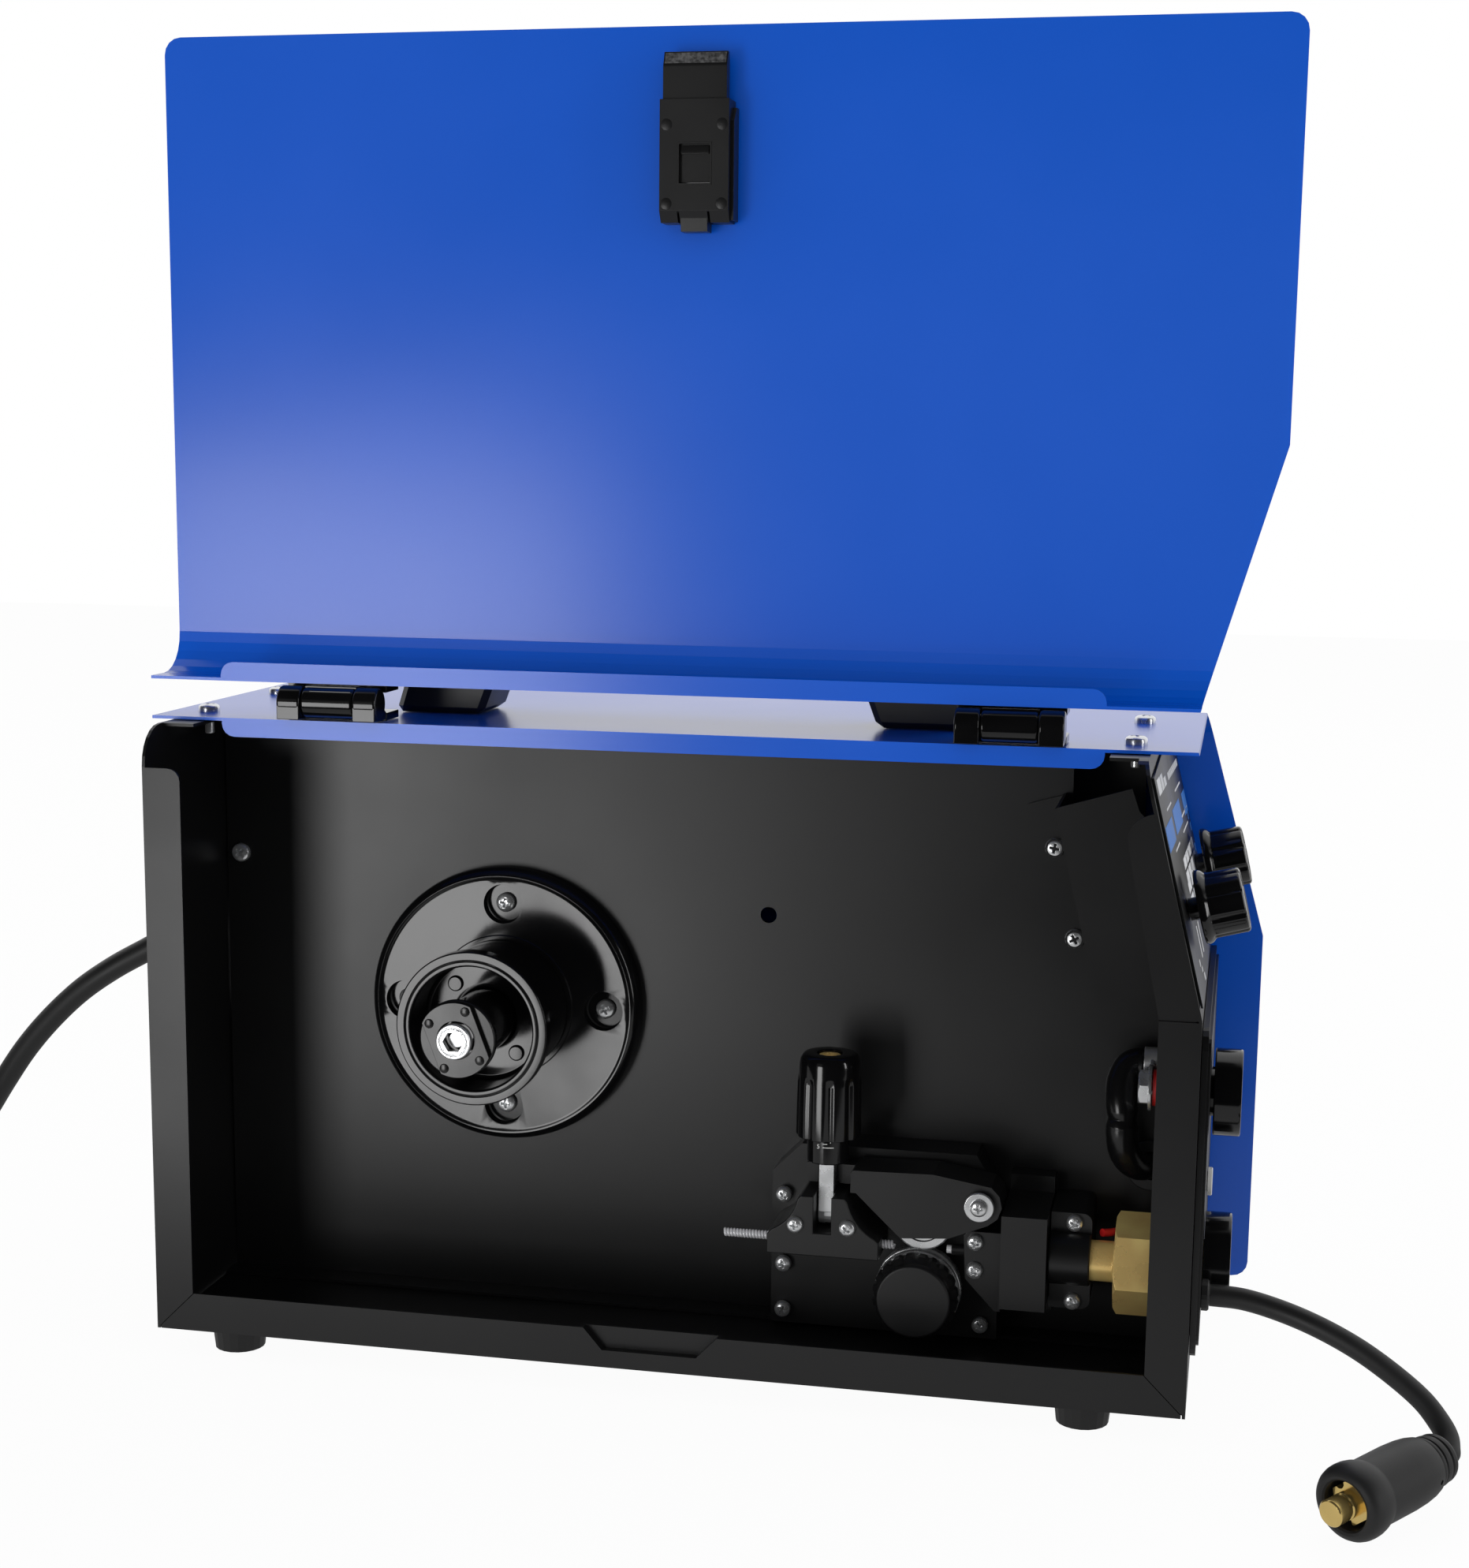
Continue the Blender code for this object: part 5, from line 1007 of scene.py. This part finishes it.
for place, x in (("rear", 46.0), ("front", 306.6)):
    last, first_gap, last_gap = x + HINGE_W, x + 9.6, x + HINGE_W - 9.6
    clear = HINGE_Y + KNUCKLE_R + 0.5
    low_plate = block((x, last), (clear, clear + 14), (COVER_TOP + 0.3, COVER_TOP + 3.3))
    arms = [pressed([(HINGE_Y - 6.1, COVER_TOP + 0.9), (clear + 1, COVER_TOP + 0.9),
                     (clear + 1, COVER_TOP + 3.3), (HINGE_Y + 3, COVER_TOP + 6.2),
                     (HINGE_Y - 6.1, COVER_TOP + 6.4)],
                    "x", a, b)
            for a, b in ((x + 0.2, first_gap - 0.4), (last_gap + 0.4, last - 0.2))]
    ends = [knuckle(x, first_gap - 0.2), knuckle(last_gap + 0.2, last)]
    pin = rod(2.4, 0, 32, (x + 4, HINGE_Y, HINGE_Z), FORWARD, 24)
    piece(f"hinge_{place}_case", joined(low_plate, *arms, *ends, pin), "gloss_black_plastic", "case",
          [f"hinge_leaf_fixed_{place}"], edge=0.3)
    high = 2 * HINGE_Z - COVER_TOP - 0.3
    plate = block((x, last), (clear, clear + 14), (high - 3, high))
    arm = block((first_gap, last_gap), (HINGE_Y, clear + 1), (high - 3, high - 0.6))
    barrel = carved(
        knuckle(first_gap, last_gap, KNUCKLE_R - 0.5),
        rod(2.8, -1, 30, (first_gap, HINGE_Y, HINGE_Z), FORWARD, 24))
    ridge = block((first_gap + 3, last_gap - 1), (HINGE_Y - 3.6, HINGE_Y + 1.0), (high - 3.6, high - 2.0))
    piece(f"hinge_{place}_door", joined(plate, arm, barrel, ridge), "gloss_black_plastic", "door",
          [f"hinge_leaf_door_{place}"], edge=0.3)

# %% [markdown]
# ## Edges of the solids
#
# The folded sheets and the moulded blocks that keep their own solid get the same thin bevel as the
# pieces above, so that their edges catch a fine line of light. A plain thin black plate in the power bay
# stands for no solid: it is painted shade, a dark sheet that darkens the lit inside seen over the wall.

# %% Soften the solids that stay
for name, width in (
        ("rear_panel", 0.3), ("front_panel", 0.7), ("control_shield", 0.6), ("cover_door", 0.3),
        ("top_side_cover", 0.3), ("feeder_plate", 0.5), ("pressure_arm", 0.6), ("outlet_block", 0.6),
        ("front_fascia", 0.5), ("control_overlay", 0.15), ("fan_guard", 0.3), ("fan_frame", 0.3),
        ("fan_rotor", 0.2), ("switch_frame", 0.4), ("switch_rocker", 0.4), ("tension_rod", 0.3)):
    soften(nodes[name], width, 40)
    print(name, "edges", width, "mm")

# %% Dark sheet in the power bay, painted shade
# Painted shade: a black plate, no real part, that hides the lit inside of the cover seen over the wall
shade_plate = block((210, 373), (108, 108.8), (160, 236))
piece("painted_shade_sheet", shade_plate, "matt_black_plastic", "case", edge=0.1)

# %% [markdown]
# ## Cable plug
#
# The plug at the end of the polarity lead is a soft rubber sleeve pushed over a brass contact: a ribbed
# tail, a slightly tapered grip and a round nose that shields the pin. The collar behind the pin is cut
# from hexagon bar, with two notches for the key that locks it in the socket.

# %% Sleeve and contact of the plug
PLUG_L = (PLUG_NOSE - PLUG_TAIL).length
PLUG_LINE = (PLUG_TAIL, PLUG_WAY)
NOSE = PLUG_L + 3.2
sleeve = [(0, 0.3), (6.2, 0.3), (7.6, 0.6), (8.4, 1.4), (8.7, 2.4), (8.6, 3.4), (8.0, 3.9), (8.0, 4.3),
          (8.9, 4.8), (9.1, 6.0), (9.0, 7.2), (8.4, 7.7), (8.4, 8.1), (9.4, 8.6), (9.6, 9.6), (9.4, 10.3),
          (9.0, 10.7), (10.3, 11.2), (11.0, 14), (11.5, 18), (11.8, 24), (11.8, NOSE - 13)]
sleeve += [
    (12.2, NOSE - 11.6), (12.9, NOSE - 9.6), (13.3, NOSE - 7.6), (13.4, NOSE - 5.6), (13.3, NOSE - 4),
    (12.9, NOSE - 2.4), (12.2, NOSE - 1.1), (11.2, NOSE - 0.3), (10.2, NOSE), (9.2, NOSE - 0.3),
    (8.6, NOSE - 1), (8.4, PLUG_L - 7), (0, PLUG_L - 7)]
dimple_way = Vector((0.77, -0.63, -0.09))
dimple = rod(0.9, 10.4, 13, PLUG_TAIL + 14 * PLUG_WAY, dimple_way, 24)
plug_sleeve = piece(
    "plug_sleeve", carved(spun(sleeve, *PLUG_LINE, 96), dimple), "black_rubber", "case", ["lead_plug"],
    edge=0)
plug_up = (Vector((0, 0, 1)) - PLUG_WAY.z * PLUG_WAY).normalized()
plug_side = PLUG_WAY.cross(plug_up)
notches = [
    rod(1.9, PLUG_L - 8, PLUG_L + 2, PLUG_TAIL + way * 7.3, PLUG_WAY, 24)
    for way in (0.75 * plug_up + 0.66 * plug_side, -0.98 * plug_up + 0.2 * plug_side)]
collar = carved(rod(7.9, PLUG_L - 6.7, PLUG_L - 0.6, *PLUG_LINE, 6), *notches)
pin = spun(
    [(0, PLUG_L - 1), (4.7, PLUG_L - 1), (4.7, PLUG_L + 3.2), (4.1, PLUG_L + 3.5), (4.1, PLUG_L + 4.6),
     (4.7, PLUG_L + 4.9), (4.7, PLUG_L + 9.9), (4.2, PLUG_L + 10.4), (0, PLUG_L + 10.4)],
    *PLUG_LINE, 64)
plug_contact = piece(
    "plug_contact", joined(collar, pin), "polished_brass", "case", ["lead_plug_contact"], edge=0.2)

# %% The cords take their places
for cord, stands_for in ((polarity_cord, ["polarity_cable"]), (mains_cord, ["mains_cable", "mains_coil"])):
    cord.data.materials.append(FINISHES["black_rubber"])
    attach(cord, "case")
    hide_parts(*stands_for)
    print(cord.name, "stands for", *stands_for)
